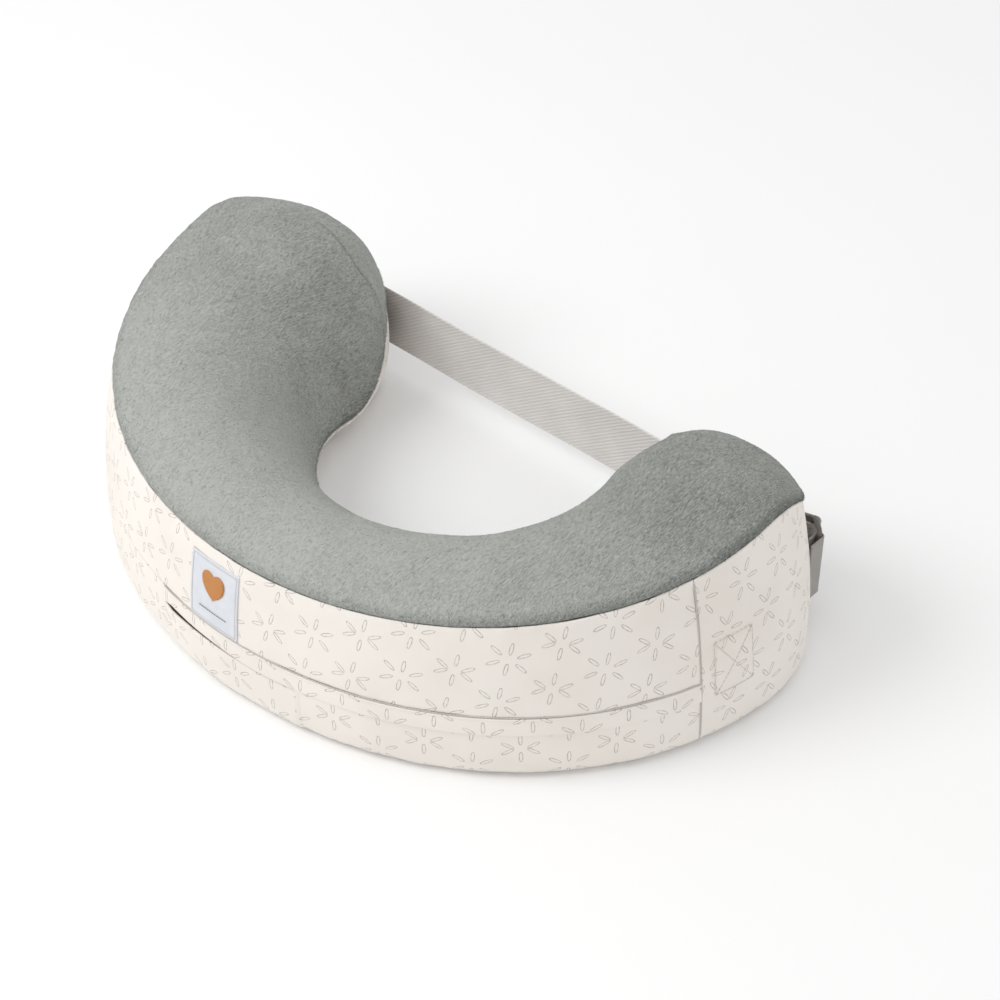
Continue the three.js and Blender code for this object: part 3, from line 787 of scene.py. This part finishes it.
wall_piece("right_end_panel", (RIGHT_SEAM + SEAM_GAP, 1 + TIP_SEAM), at_base, at_seam, 200,
           ridges=(1.2, 0, 0, 0), print_angle=90, print_shift=(10, 14), dents=box_shape(1))
wall_piece("left_end_panel", (4 - TIP_SEAM, 4 + END_SEAM - SEAM_GAP), at_base, at_seam, 220,
           ridges=(0, 1.2, 0, 0), print_angle=90, print_shift=(3, 30), dents=box_shape(-1))
wall_piece("inner_wall_panel", (1 + TIP_SEAM + SEAM_GAP, 4 - TIP_SEAM - SEAM_GAP), at_base, at_seam, 240,
           gathered=(1, 1, 1, 1.3), print_shift=(0, 12))


# ---- cover: plush top, base and foam ----
OUTLINE_STEPS = 640


def around_outline(count):
    """Places all the way round. The tips are as fine as the sides, because they curve more."""
    side, tip = round(count * 0.36), round(count * 0.14)
    blocks = [np.linspace(k, k + 1, (side, tip)[k % 2], False) for k in range(4)]
    return np.concatenate([*blocks, [4]])


def round_the_darts(places):
    """The same places with finer ones where the darts are."""
    fine = np.linspace(DART - DART_BEND - 0.03, DART + 0.03, 60)
    return np.unique(np.concatenate([places, 1 + fine, 4 - fine]))


DART_LEVELS = (3.02, 3.72)         # section levels where a dart begins and has faded out
DART_TURN = 3.4                    # the level from which it bends


def dart_groove(places, levels, points):
    """A sewn dart on each horn, from the seam up to near the crest line: a sharp fold beside a soft
    ridge. It bends towards the outside of the horn and fades out at its upper end."""
    lift = np.zeros(levels.shape)
    bend = np.clip((levels - DART_TURN) / 0.3, 0, 1) ** 2
    fading = np.clip((DART_LEVELS[1] - levels) / 0.06, 0, 1)
    fading *= np.clip((levels - DART_LEVELS[0]) / 0.05, 0, 1)
    for start, turn in ((1 + DART, -1), (4 - DART, 1)):
        centre = start + turn * DART_BEND * bend
        step = np.linalg.norm(np.gradient(points, axis=0), axis=-1) / np.gradient(places)[:, None]
        aside = (places[:, None] - centre) * step * turn
        lift += fading * (1.5 * bell(aside + 2.2, 1.6) + 0.5 * bell(aside - 4, 3) - 2.2 * bell(aside, 1.2))
    return lift


def plush_top():
    """The plush panel: it rolls over the seam, is gathered along it, and its pile lies in clumps."""
    places = round_the_darts(around_outline(OUTLINE_STEPS))
    levels = 3 + np.linspace(0, 1, 55) ** 1.15
    levels = np.tile(levels, (len(places), 1))
    outline = Outline(places)
    flat = cover_points(outline, places, levels)
    rise = arc_lengths(flat)
    inside = np.clip((0.7 - np.abs(places - 2.5)) / 0.2, 0, 1)[:, None]
    overhang = 0.9 + 1.2 * inside ** 2 * (3 - 2 * inside)
    lift = edge_roll(rise, 3.2) * 0.8 + overhang * bell(rise - 7, 5)
    lift = lift + gathers(flat, rise, 0.5, 300)
    lift = lift + 0.5 * smooth_noise(flat, 30, 310) + 0.22 * smooth_noise(flat, 7, 311)
    groove = dart_groove(places, levels, flat)
    lift = lift + 0.16 * smooth_noise(flat, 3.1, 312) + groove
    top, bottom = cover_layer(outline, places, levels, lift, PLUSH)
    uv = np.stack([places[:, None] * SIDE_LENGTH + 0 * rise, rise], -1)
    piece = slab("plush_top_panel", top, bottom, PLUSH_CLOTH, uv * MM, False, (True, False))
    attach(piece, nodes=["plush_top_panel"])
    return top, rise, groove


PLUSH_SURFACE, PLUSH_RISE, DART_RELIEF = plush_top()

PILE_COUNT = 44000
PILE_LENGTH, PILE_WIDTH = 2.0, 0.34


def plush_pile():
    """Tapered tufts over the plush, combed towards +Y. They are densest along its seam, where they
    stand out and make the edge fuzzy."""
    random = np.random.default_rng(7)
    corner = PLUSH_SURFACE[:-1, :-1]
    across = PLUSH_SURFACE[1:, :-1] - corner
    upward = PLUSH_SURFACE[:-1, 1:] - corner
    normal = np.cross(across, upward)
    area = np.linalg.norm(normal, axis=-1)
    row = np.arange(area.shape[1])
    weight = area * (1 + 4 * np.exp(-row / 4)) * np.exp(-(4 * DART_RELIEF[:-1, :-1]) ** 2)
    chosen = random.choice(area.size, PILE_COUNT, p=weight.ravel() / weight.sum())
    i, j = np.unravel_index(chosen, area.shape)
    place, rise, length, turn = random.random((4, PILE_COUNT, 1))
    root = corner[i, j] + across[i, j] * place + upward[i, j] * rise
    out = normal[i, j] / area[i, j][:, None]
    standing = 0.35 + 0.5 * np.exp(-row[j] / 3)[:, None]
    combed = np.concatenate([turn - 0.5, np.ones_like(turn), np.zeros_like(turn)], -1)
    combed -= out * (combed * out).sum(-1, keepdims=True)
    heading = unit(unit(combed) + out * standing)
    aside = unit(np.cross(heading, out))
    root = root - out * 0.25
    longer = 1 + 0.5 * np.exp(-row[j] / 4)[:, None]
    tip = root + heading * PILE_LENGTH * longer * (0.6 + 0.6 * length)
    above = np.cross(aside, heading)
    foot = [root + side * PILE_WIDTH for side in (aside, -aside, above)]
    tufts = np.stack([*foot, tip], 1)
    first = 4 * np.arange(PILE_COUNT)[:, None]
    faces = np.concatenate([first + face for face in ((0, 2, 1), (0, 1, 3), (1, 2, 3), (2, 0, 3))])
    uv = np.repeat(np.stack([0 * row[j], PLUSH_RISE[i, j]], -1), 4, axis=0)
    piece = mesh_object("plush_pile", tufts.reshape(-1, 3), faces.tolist(), PLUSH_CLOTH, uv * MM, False)
    return attach(piece)


plush_pile()


def base_panel():
    """The flat base, drawn in a little at its edge, with slack cloth that dimples upwards."""
    places = around_outline(420)
    levels = np.tile(np.concatenate([np.linspace(0, 0.94, 22), np.linspace(0.96, BASE_SEAM, 9)]),
                     (len(places), 1))
    outline = Outline(places)
    flat = cover_points(outline, places, levels)
    edge = arc_lengths(flat)[:, -1:] - arc_lengths(flat)
    lift = edge_roll(edge, 1.0) - 0.5 * np.abs(smooth_noise(flat, 26, 330)) * np.clip(edge / 30, 0, 1)
    top, bottom = cover_layer(outline, places, levels, lift, CLOTH)
    piece = slab("base_panel", top, bottom, COTTON, top[..., :2] * MM, False, (False, True))
    return attach(piece, nodes=["base_panel"])


base_panel()


ZIP_CUT_PLACES = (0.33, 0.9)       # where the foam is cut back for the zip
ZIP_CUT_HEIGHTS = (16, 84)


def foam_core():
    """The moulded foam inside, cut back behind the placket for the zip."""
    places = around_outline(220)
    levels = np.concatenate([np.linspace(0, 1, 8), np.linspace(1.2, 2, 5), np.linspace(2, 3, 22)[1:],
                             np.linspace(3, 4, 16)[1:]])
    levels = np.tile(levels, (len(places), 1))
    outline = Outline(places)
    height = outline.section(levels)[1]
    first, last = ZIP_CUT_PLACES
    low, high = ZIP_CUT_HEIGHTS
    behind_zip = np.clip((places - first) / 0.02, 0, 1) * np.clip((last - places) / 0.02, 0, 1)
    cut = behind_zip[:, None] * np.clip((height - low) / 5, 0, 1) * np.clip((high - height) / 5, 0, 1)
    skin = outline.points(levels, -FOAM_INSET - ZIP_RELIEF * cut)
    points = skin.reshape(-1, 3)
    piece = tidy_mesh(mesh_object("foam_block", points, grid_faces(*levels.shape), FOAM))
    return attach(piece, nodes=["foam_core"])


foam_core()


# ---- threads and stitches ----
THREAD_SIDES = 6
THREAD_PROFILE = ((0, 0.3), (0.12, 0.85), (0.5, 1), (0.88, 0.85), (1, 0.3))


def threads(name, starts, ends, radius, material):
    """Many short threads as one mesh: closed spindles from each start to each end."""
    starts, ends = np.asarray(starts, float), np.asarray(ends, float)
    run = unit(ends - starts)
    helper = np.where(np.abs(run[:, 2:]) < 0.8, [[0, 0, 1]], [[1, 0, 0]])
    aside = unit(np.cross(run, helper))
    above = np.cross(aside, run)
    turns = np.linspace(0, 2 * math.pi, THREAD_SIDES, False)
    rings = [mix(starts, ends, share)[:, None] + radius * size * (
        aside[:, None] * np.cos(turns)[None, :, None] + above[:, None] * np.sin(turns)[None, :, None])
        for share, size in THREAD_PROFILE]
    points = np.stack(rings, 1).reshape(-1, 3)
    a = np.arange(THREAD_SIDES * len(THREAD_PROFILE)).reshape(-1, THREAD_SIDES)
    b = np.roll(a, -1, axis=1)
    sides = np.stack([a[:-1], b[:-1], b[1:], a[1:]], -1).reshape(-1, 4).tolist()
    one = [*sides, a[0, ::-1].tolist(), a[-1].tolist()]
    faces = [[corner + a.size * k for corner in face] for k in range(len(starts)) for face in one]
    return tidy_mesh(mesh_object(name, points, faces, material))


def stitch_line(points, length=2.6, gap=0.8):
    """Starts and ends of stitches along a line of points."""
    points = np.asarray(points)
    distance = arc_lengths(points)
    count = max(1, int(distance[-1] / (length + gap)))
    at = (np.arange(count) + 0.5) * distance[-1] / count
    return [points_along(points, distance, at + end * length) for end in (-0.5, 0.5)]


def on_wall(places, heights, lift):
    """Points on the wall at places along the outline and heights, raised by lift."""
    places, heights = np.asarray(places, float), np.asarray(heights, float)
    outline = Outline(places)
    levels = outline.level_at(heights)[:, None]
    return cover_points(outline, places, levels, lift)[:, 0]


def wall_line(start, end, lift, count=24):
    """A line on the wall from (place, height) to (place, height)."""
    share = np.linspace(0, 1, count)
    return on_wall(mix(start[0], end[0], share), mix(start[1], end[1], share), lift)


def join_stitches(name, lines, radius, material, slot, body="cushion", **pitch):
    """Sews each line of points and joins all the stitches into one piece."""
    pairs = [stitch_line(line, **pitch) for line in lines]
    starts, ends = (np.concatenate(part) for part in zip(*pairs))
    return attach(threads(name, starts, ends, radius, material), body)


def sides_of(corners):
    """The sides of a closed shape, as pairs of corners."""
    return zip(corners, corners[1:] + corners[:1])


def box_stitches(side, name):
    """A box with a cross that holds the webbing under an end panel."""
    near, far = [1 - share if side > 0 else share for share in BOX_STITCH]
    low, high = BOX_HEIGHTS
    corners = [(near, low), (far, low), (far, high), (near, high)]
    lines = [wall_line(a, b, 0.55) for a, b in sides_of(corners)]
    lines += [wall_line(corners[0], corners[2], 0.95), wall_line(corners[1], corners[3], 0.95)]
    join_stitches(f"{name}_box_stitches", lines, 0.3, CREAM_THREAD, "printed_cotton")


WELT_ASIDE = 0.0006               # how far a welt lies beside its seam, along the outline
WELT_ABOVE = 0.5


def seam_welt(name, start, end, count):
    """The turned edges of a seam, which fill the crease beside its raised panel."""
    line = wall_line(start, end, 0.45, count)
    join_stitches(name, [line], 0.6, CREAM_THREAD, "printed_cotton", length=2.4, gap=0.05)


def end_seam_welt(side, name):
    place = RIGHT_SEAM - WELT_ASIDE if side > 0 else END_SEAM + WELT_ASIDE
    top = Outline([place]).seam[0] - 4
    seam_welt(f"{name}_seam_welt", (place, 4), (place, top), 60)


for side, name in SIDES:
    box_stitches(side, name)
    end_seam_welt(side, name)
seam_welt("placket_seam_welt", (PLACKET_START, PLACKET_SEAM_HEIGHT + WELT_ABOVE),
          (RIGHT_SEAM, PLACKET_SEAM_HEIGHT + WELT_ABOVE), 400)


# ---- label ----
def label_frame():
    """The label's middle place, middle height, and how far one millimetre is along the outline."""
    width = np.linalg.norm(np.diff(on_wall(LABEL_SPAN, [90, 90], 1), axis=0))
    return sum(LABEL_SPAN) / 2, sum(LABEL_HEIGHTS) / 2, (LABEL_SPAN[1] - LABEL_SPAN[0]) / width


def on_label(points, lift=1.5):
    """Points of the label from pairs in millimetres, right and up from its middle."""
    place, height, per_mm = label_frame()
    points = np.asarray(points, float)
    return on_wall(place + points[:, 0] * per_mm, height + points[:, 1], lift)


def woven_label():
    """A satin label laid on the wall, folded under at its edges."""
    places = eased(*LABEL_SPAN, 60, 0.5)
    outline = Outline(places)
    low, high = (outline.level_at(h)[:, None] for h in LABEL_HEIGHTS)
    levels = mix(low, high, eased(0, 1, 60, 0.5))
    flat = cover_points(outline, places, levels)
    run = arc_lengths(flat[:, 30])[:, None] + np.zeros(levels.shape)
    rise = arc_lengths(flat)
    edge = np.minimum.reduce([run, run[-1:] - run, rise, rise[:, -1:] - rise])
    lift = 1.25 + edge_roll(edge, 0.5) - 0.25 * bell(edge - 2, 0.9) + 0.2 * smooth_noise(flat, 17, 400)
    top, bottom = cover_layer(outline, places, levels, lift, LABEL_THICKNESS)
    piece = slab("woven_label", top, bottom, LABEL, np.stack([run, rise], -1) * MM)
    return attach(piece, nodes=["woven_label"])


def in_heart(x, y):
    """Whether a point is in a heart shape about 2 across."""
    return (x * x + y * y - 1) ** 3 < x * x * y ** 3


def satin_rows(inside, half_width, half_height, pitch):
    """Rows of thread that fill a shape: starts and ends in the label's plane."""
    starts, ends = [], []
    x = np.linspace(-half_width, half_width, 241)
    for y in np.arange(-half_height, half_height, pitch):
        cells = np.concatenate([[False], inside(x, y + 0 * x), [False]])
        edges = np.nonzero(cells[1:] != cells[:-1])[0]
        for a, b in zip(edges[::2], edges[1::2]):
            starts.append((x[a], y))
            ends.append((x[min(b, len(x) - 1)], y))
    return np.array(starts), np.array(ends)


HEART_SIZE = 10.5
HEART_UP = 6
LINE_REACH, LINE_UP = 14, -15.0
LABEL_HEM = 2                      # from the label's edge to its stitches


def emblem():
    """A plain satin-stitched heart with a short sewn line under it."""
    def shape(x, y):
        return in_heart(x / HEART_SIZE, (y - HEART_UP) / HEART_SIZE)
    starts, ends = satin_rows(shape, 15, 24, 0.62)
    heart = threads("label_emblem", on_label(starts), on_label(ends), 0.36, EMBLEM_THREAD)
    attach(heart)
    line = on_label(np.stack([np.linspace(-LINE_REACH, LINE_REACH, 30), np.full(30, LINE_UP)], -1))
    join_stitches("label_line", [line], 0.4, GREY_THREAD, "label_cloth", length=2.2, gap=0.3)


def label_stitches():
    half_width = 0.5 / label_frame()[2] * (LABEL_SPAN[1] - LABEL_SPAN[0]) - LABEL_HEM
    half_height = (LABEL_HEIGHTS[1] - LABEL_HEIGHTS[0]) / 2 - LABEL_HEM
    corners = [(-1, -1), (1, -1), (1, 1), (-1, 1)]
    lines = []
    for a, b in sides_of(corners):
        share = np.linspace(0, 1, 20)[:, None]
        lines.append(on_label(mix(np.array(a), np.array(b), share) * (half_width, half_height), 1.3))
    join_stitches("label_stitches", lines, 0.25, CREAM_THREAD, "label_cloth", length=2, gap=0.7)


woven_label()
emblem()
label_stitches()


# ---- strap, rings and tabs ----
def arc_line(centre, radius, start, end, count):
    angle = np.radians(np.linspace(start, end, count + 1))
    return np.stack([centre[0] + radius * np.cos(angle), centre[1] + radius * np.sin(angle)], -1)


def evenly_spaced(line, step):
    """The same line with points every step, and its own corners softened by them."""
    line = np.asarray(line, float)
    distance = arc_lengths(line)
    at = np.linspace(0, distance[-1], max(3, round(distance[-1] / step)))
    return points_along(line, distance, at)


def band(name, line, thickness, body="cushion", nodes=(), material=None, bottom=STRAP_BOTTOM,
         width=STRAP_WIDTH, step=1.6, seed=500, sway=None):
    """Webbing on edge along a line in plan, with woven selvedges that are thicker than the rest."""
    line = evenly_spaced(line, step)
    run = unit(np.gradient(line, axis=0))
    aside = np.stack([-run[:, 1], run[:, 0]], -1)
    up = eased(0, width, round(width / 1.3), 0.75)
    from_edge = np.minimum(up, width - up)
    half = thickness / 2 + edge_roll(from_edge, thickness / 2 - 0.02)
    half = half + 0.14 * bell(from_edge - 1.6, 0.9) - 0.10 * bell(from_edge - 3.3, 0.6)
    distance = arc_lengths(line)
    shift = np.zeros((len(line), len(up)))
    if sway is not None:
        shift = sway(line)[:, None] * (0.6 + 0.4 * smooth_noise(
            np.stack(np.broadcast_arrays(distance[:, None], up[None], 0.0), -1), 40, seed))

    def face(sign):
        plan = line[:, None] + aside[:, None] * (shift + sign * half[None])[..., None]
        height = np.broadcast_to(bottom + up, shift.shape)
        return np.concatenate([plan, height[..., None]], -1)
    uv = np.stack(np.broadcast_arrays(distance[:, None], up[None]), -1) * MM
    piece = slab(name, face(1), face(-1), material or WEBBING, uv)
    return attach(piece, body, nodes)


def mirrored(line, side):
    return np.asarray(line) * (side, 1)


def strap_line():
    right = [*arc_line(STRAP_BAR, TURN_RADIUS, -90, 90, 24), (FOLD_END + 4, TAIL_Y + 0.5), (FOLD_END, TAIL_Y)]
    left = mirrored(right, -1)[::-1]
    return [*left, *right]


def strap_sway(line):
    """The strap hangs a little wavy between the horns, and lies straight near its ends."""
    free = np.clip((170 - np.abs(line[:, 0])) / 60, 0, 1)
    return 0.9 * free * np.sin(line[:, 0] / 47) * (line[:, 1] < STRAP_Y + 2)


def smooth_ring(side, name):
    """The ring: round wire bent to a rectangle with round corners."""
    centre = np.array([(TAB_BAR[0] + STRAP_BAR[0]) / 2, (TAB_BAR[1] + STRAP_BAR[1]) / 2])
    span = np.array(TAB_BAR) - np.array(STRAP_BAR)
    half_length = np.linalg.norm(span) / 2
    across = span / (2 * half_length)
    half_height = STRAP_WIDTH / 2 + RING_CLEARANCE + RING_WIRE
    middle = STRAP_BOTTOM + STRAP_WIDTH / 2
    rows = []
    for sx, sz, start in ((1, 1, 0), (-1, 1, 90), (-1, -1, 180), (1, -1, 270)):
        for angle in np.radians(np.linspace(start, start + 90, 10)):
            out = np.array([math.cos(angle), math.sin(angle)])
            at = np.array([sx * (half_length - RING_CORNER), sz * (half_height - RING_CORNER)])
            rows.append((at + RING_CORNER * out, out))
    turns = np.linspace(0, 2 * math.pi, 16)
    points = []
    for at, out in [*rows, rows[0]]:
        flat = at[0] + out[0] * RING_WIRE * np.cos(turns)
        aside = RING_WIRE * np.sin(turns)
        x = centre[0] + across[0] * flat - across[1] * aside
        y = centre[1] + across[1] * flat + across[0] * aside
        z = middle + at[1] + out[1] * RING_WIRE * np.cos(turns)
        points.append(np.stack([side * x, y, z], -1))
    points = np.array(points)
    piece = mesh_object(f"{name}_ring", points.reshape(-1, 3), grid_faces(*points.shape[:2]), RING)
    return attach(tidy_mesh(piece), f"{name}_ring", [f"{name}_strap_ring"])


def tab_line():
    """A hairpin round the ring's inner bar, with legs that stop just off the wall."""
    def wall_at(place):
        return on_wall([place], [STRAP_BOTTOM], 0.9)[0, :2]
    seam = wall_at(1 + TAB_SEAM)
    wall_run = wall_at(1 + TAB_SEAM + 0.03) - wall_at(1 + TAB_SEAM - 0.03)
    bar = np.array(TAB_BAR)
    run = (seam - bar) / np.linalg.norm(seam - bar)
    heading = math.degrees(math.atan2(run[1], run[0]))
    turn = arc_line(bar, RING_WIRE + 0.35 + TAB_THICKNESS / 2, heading + 90, heading + 270, 20)

    def leg_end(point):
        to_seam = seam - point
        length = (to_seam[0] * wall_run[1] - to_seam[1] * wall_run[0]) / (
            run[0] * wall_run[1] - run[1] * wall_run[0])
        return point + run * length
    return [leg_end(turn[0]), *turn, leg_end(turn[-1])]


def strap_end(side, name):
    """Everything at one end of the strap."""
    smooth_ring(side, name)
    band(f"{name}_tab", mirrored(tab_line(), side), TAB_THICKNESS,
         nodes=[f"{name}_ring_tab"], step=0.8)
    tail = mirrored([(TAIL_END, TAIL_Y), (FOLD_END - PAD_GAP, TAIL_Y)], side)
    band(f"{name}_tail", tail, STRAP_THICKNESS, f"{name}_tail", [f"{name}_strap_tail"])
    loop_y = STRAP_Y + (STRAP_THICKNESS + PAD_THICKNESS) / 2 + PAD_GAP
    hook_y = loop_y + PAD_THICKNESS + PAD_GAP
    for kind, body, y in (("loop", "cushion", loop_y), ("hook", f"{name}_tail", hook_y)):
        line = mirrored([(TAIL_END + PAD_INSET, y), (FOLD_END - PAD_INSET, y)], side)
        band(f"{name}_{kind}_patch", line, PAD_THICKNESS, body, [f"{name}_{kind}_pad"],
             HOOK_CLOTH, STRAP_BOTTOM + PAD_INSET, STRAP_WIDTH - 2 * PAD_INSET)
    face = TAIL_Y + STRAP_THICKNESS / 2
    heights = (STRAP_BOTTOM + HEM_INSET, STRAP_BOTTOM + STRAP_WIDTH - HEM_INSET)
    hem = [[(side * x, face, z) for z in heights] for x in (FOLD_END - 3, FOLD_END - 6)]
    join_stitches(f"{name}_tail_stitches", hem, 0.35, STRAP_THREAD, "webbing", f"{name}_tail")


band("strap_webbing", strap_line(), STRAP_THICKNESS, nodes=["waist_strap"], sway=strap_sway)
for side, name in SIDES:
    strap_end(side, name)


ANCHOR_DEPTH, ANCHOR_THICKNESS = 2.6, 1.1


def anchor_strip(side, name):
    """The webbing inside an end panel, from its box stitch to the tab."""
    span = (1 - ANCHOR_START, 1 + TAB_SEAM) if side > 0 else (4 - TAB_SEAM, 4 + ANCHOR_START)
    places = np.linspace(*span, 60)
    outline = Outline(places)
    low, high = (outline.level_at(h)[:, None] for h in (STRAP_BOTTOM, STRAP_BOTTOM + STRAP_WIDTH))
    levels = mix(low, high, np.linspace(0, 1, 30))
    top = outline.points(levels, -ANCHOR_DEPTH)
    bottom = outline.points(levels, -ANCHOR_DEPTH - ANCHOR_THICKNESS)
    uv = np.stack([arc_lengths(top.transpose(1, 0, 2)).T, arc_lengths(top)], -1) * MM
    piece = slab(f"{name}_anchor_strip", top, bottom, WEBBING, uv)
    return attach(piece, nodes=[f"{name}_anchor_webbing"])


for side, name in SIDES:
    anchor_strip(side, name)


# ---- zip ----
ZIP_FINISH = {
    "zip_coil_upper": ZIP_PLASTIC, "zip_coil_lower": ZIP_PLASTIC,
    "zip_tape_upper": ZIP_TAPE_PAINTED_SHADE, "zip_tape_lower": ZIP_TAPE_PAINTED_SHADE,
    "zip_stop_left": ZIP_PLASTIC, "zip_stop_right": ZIP_PLASTIC, "zip_slider": SLIDER,
}
for node, material in ZIP_FINISH.items():
    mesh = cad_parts[node].data
    mesh.materials.clear()
    mesh.materials.append(material)


# ---- room, light and camera ----
FLOOR_REACH, FLOOR_HEIGHT = 4000, -0.4
CAMERA_TARGET = (66.5, 42.5, 77.6)
CAMERA_VIEW = (41.96, 41.57)       # azimuth and elevation, in degrees
CAMERA_DISTANCE = 1820.5
CAMERA_LENS, CAMERA_SENSOR = 87.9, 36
LIGHT_VIEW = (-34, 50)
LIGHT_DISTANCE, LIGHT_SIZE, LIGHT_POWER = 2.2, 1.2, 17  # metres and watts
SKY_STRENGTH = 0.83


def plain_floor():
    corners = [(x, y, FLOOR_HEIGHT) for x, y in (
        (-FLOOR_REACH, -FLOOR_REACH), (FLOOR_REACH, -FLOOR_REACH),
        (FLOOR_REACH, FLOOR_REACH), (-FLOOR_REACH, FLOOR_REACH))]
    mesh_object("floor", corners, [[0, 1, 2, 3]], floor_material())


def direction(azimuth, elevation):
    a, e = math.radians(azimuth), math.radians(elevation)
    return Vector((math.sin(a) * math.cos(e), -math.cos(a) * math.cos(e), math.sin(e)))


def aimed(name, data, target, view, distance):
    """Puts a light or camera at a distance from its target, in metres, and points it there."""
    obj = bpy.data.objects.new(name, data)
    bpy.context.scene.collection.objects.link(obj)
    back = direction(*view)
    obj.location = target + back * distance
    obj.rotation_mode = "QUATERNION"
    obj.rotation_quaternion = (-back).to_track_quat("-Z", "Y")
    return obj


def make_camera():
    camera = bpy.data.cameras.new("camera")
    camera.lens = CAMERA_LENS
    camera.sensor_width = CAMERA_SENSOR
    target = Vector(CAMERA_TARGET) * MM
    bpy.context.scene.camera = aimed("camera", camera, target, CAMERA_VIEW, CAMERA_DISTANCE * MM)


def key_light():
    """One soft light from the left and above."""
    light = bpy.data.lights.new("key", "AREA")
    light.shape = "DISK"
    light.size = LIGHT_SIZE
    light.energy = LIGHT_POWER
    aimed("key", light, Vector(), LIGHT_VIEW, LIGHT_DISTANCE)


def make_world():
    world = bpy.data.worlds.new("studio")
    world.use_nodes = True
    background = world.node_tree.nodes["Background"]
    background.inputs["Color"].default_value = (1, 1, 1, 1)
    background.inputs["Strength"].default_value = SKY_STRENGTH
    bpy.context.scene.world = world
    bpy.context.scene.view_settings.view_transform = "Standard"


plain_floor()
make_world()
make_camera()
key_light()
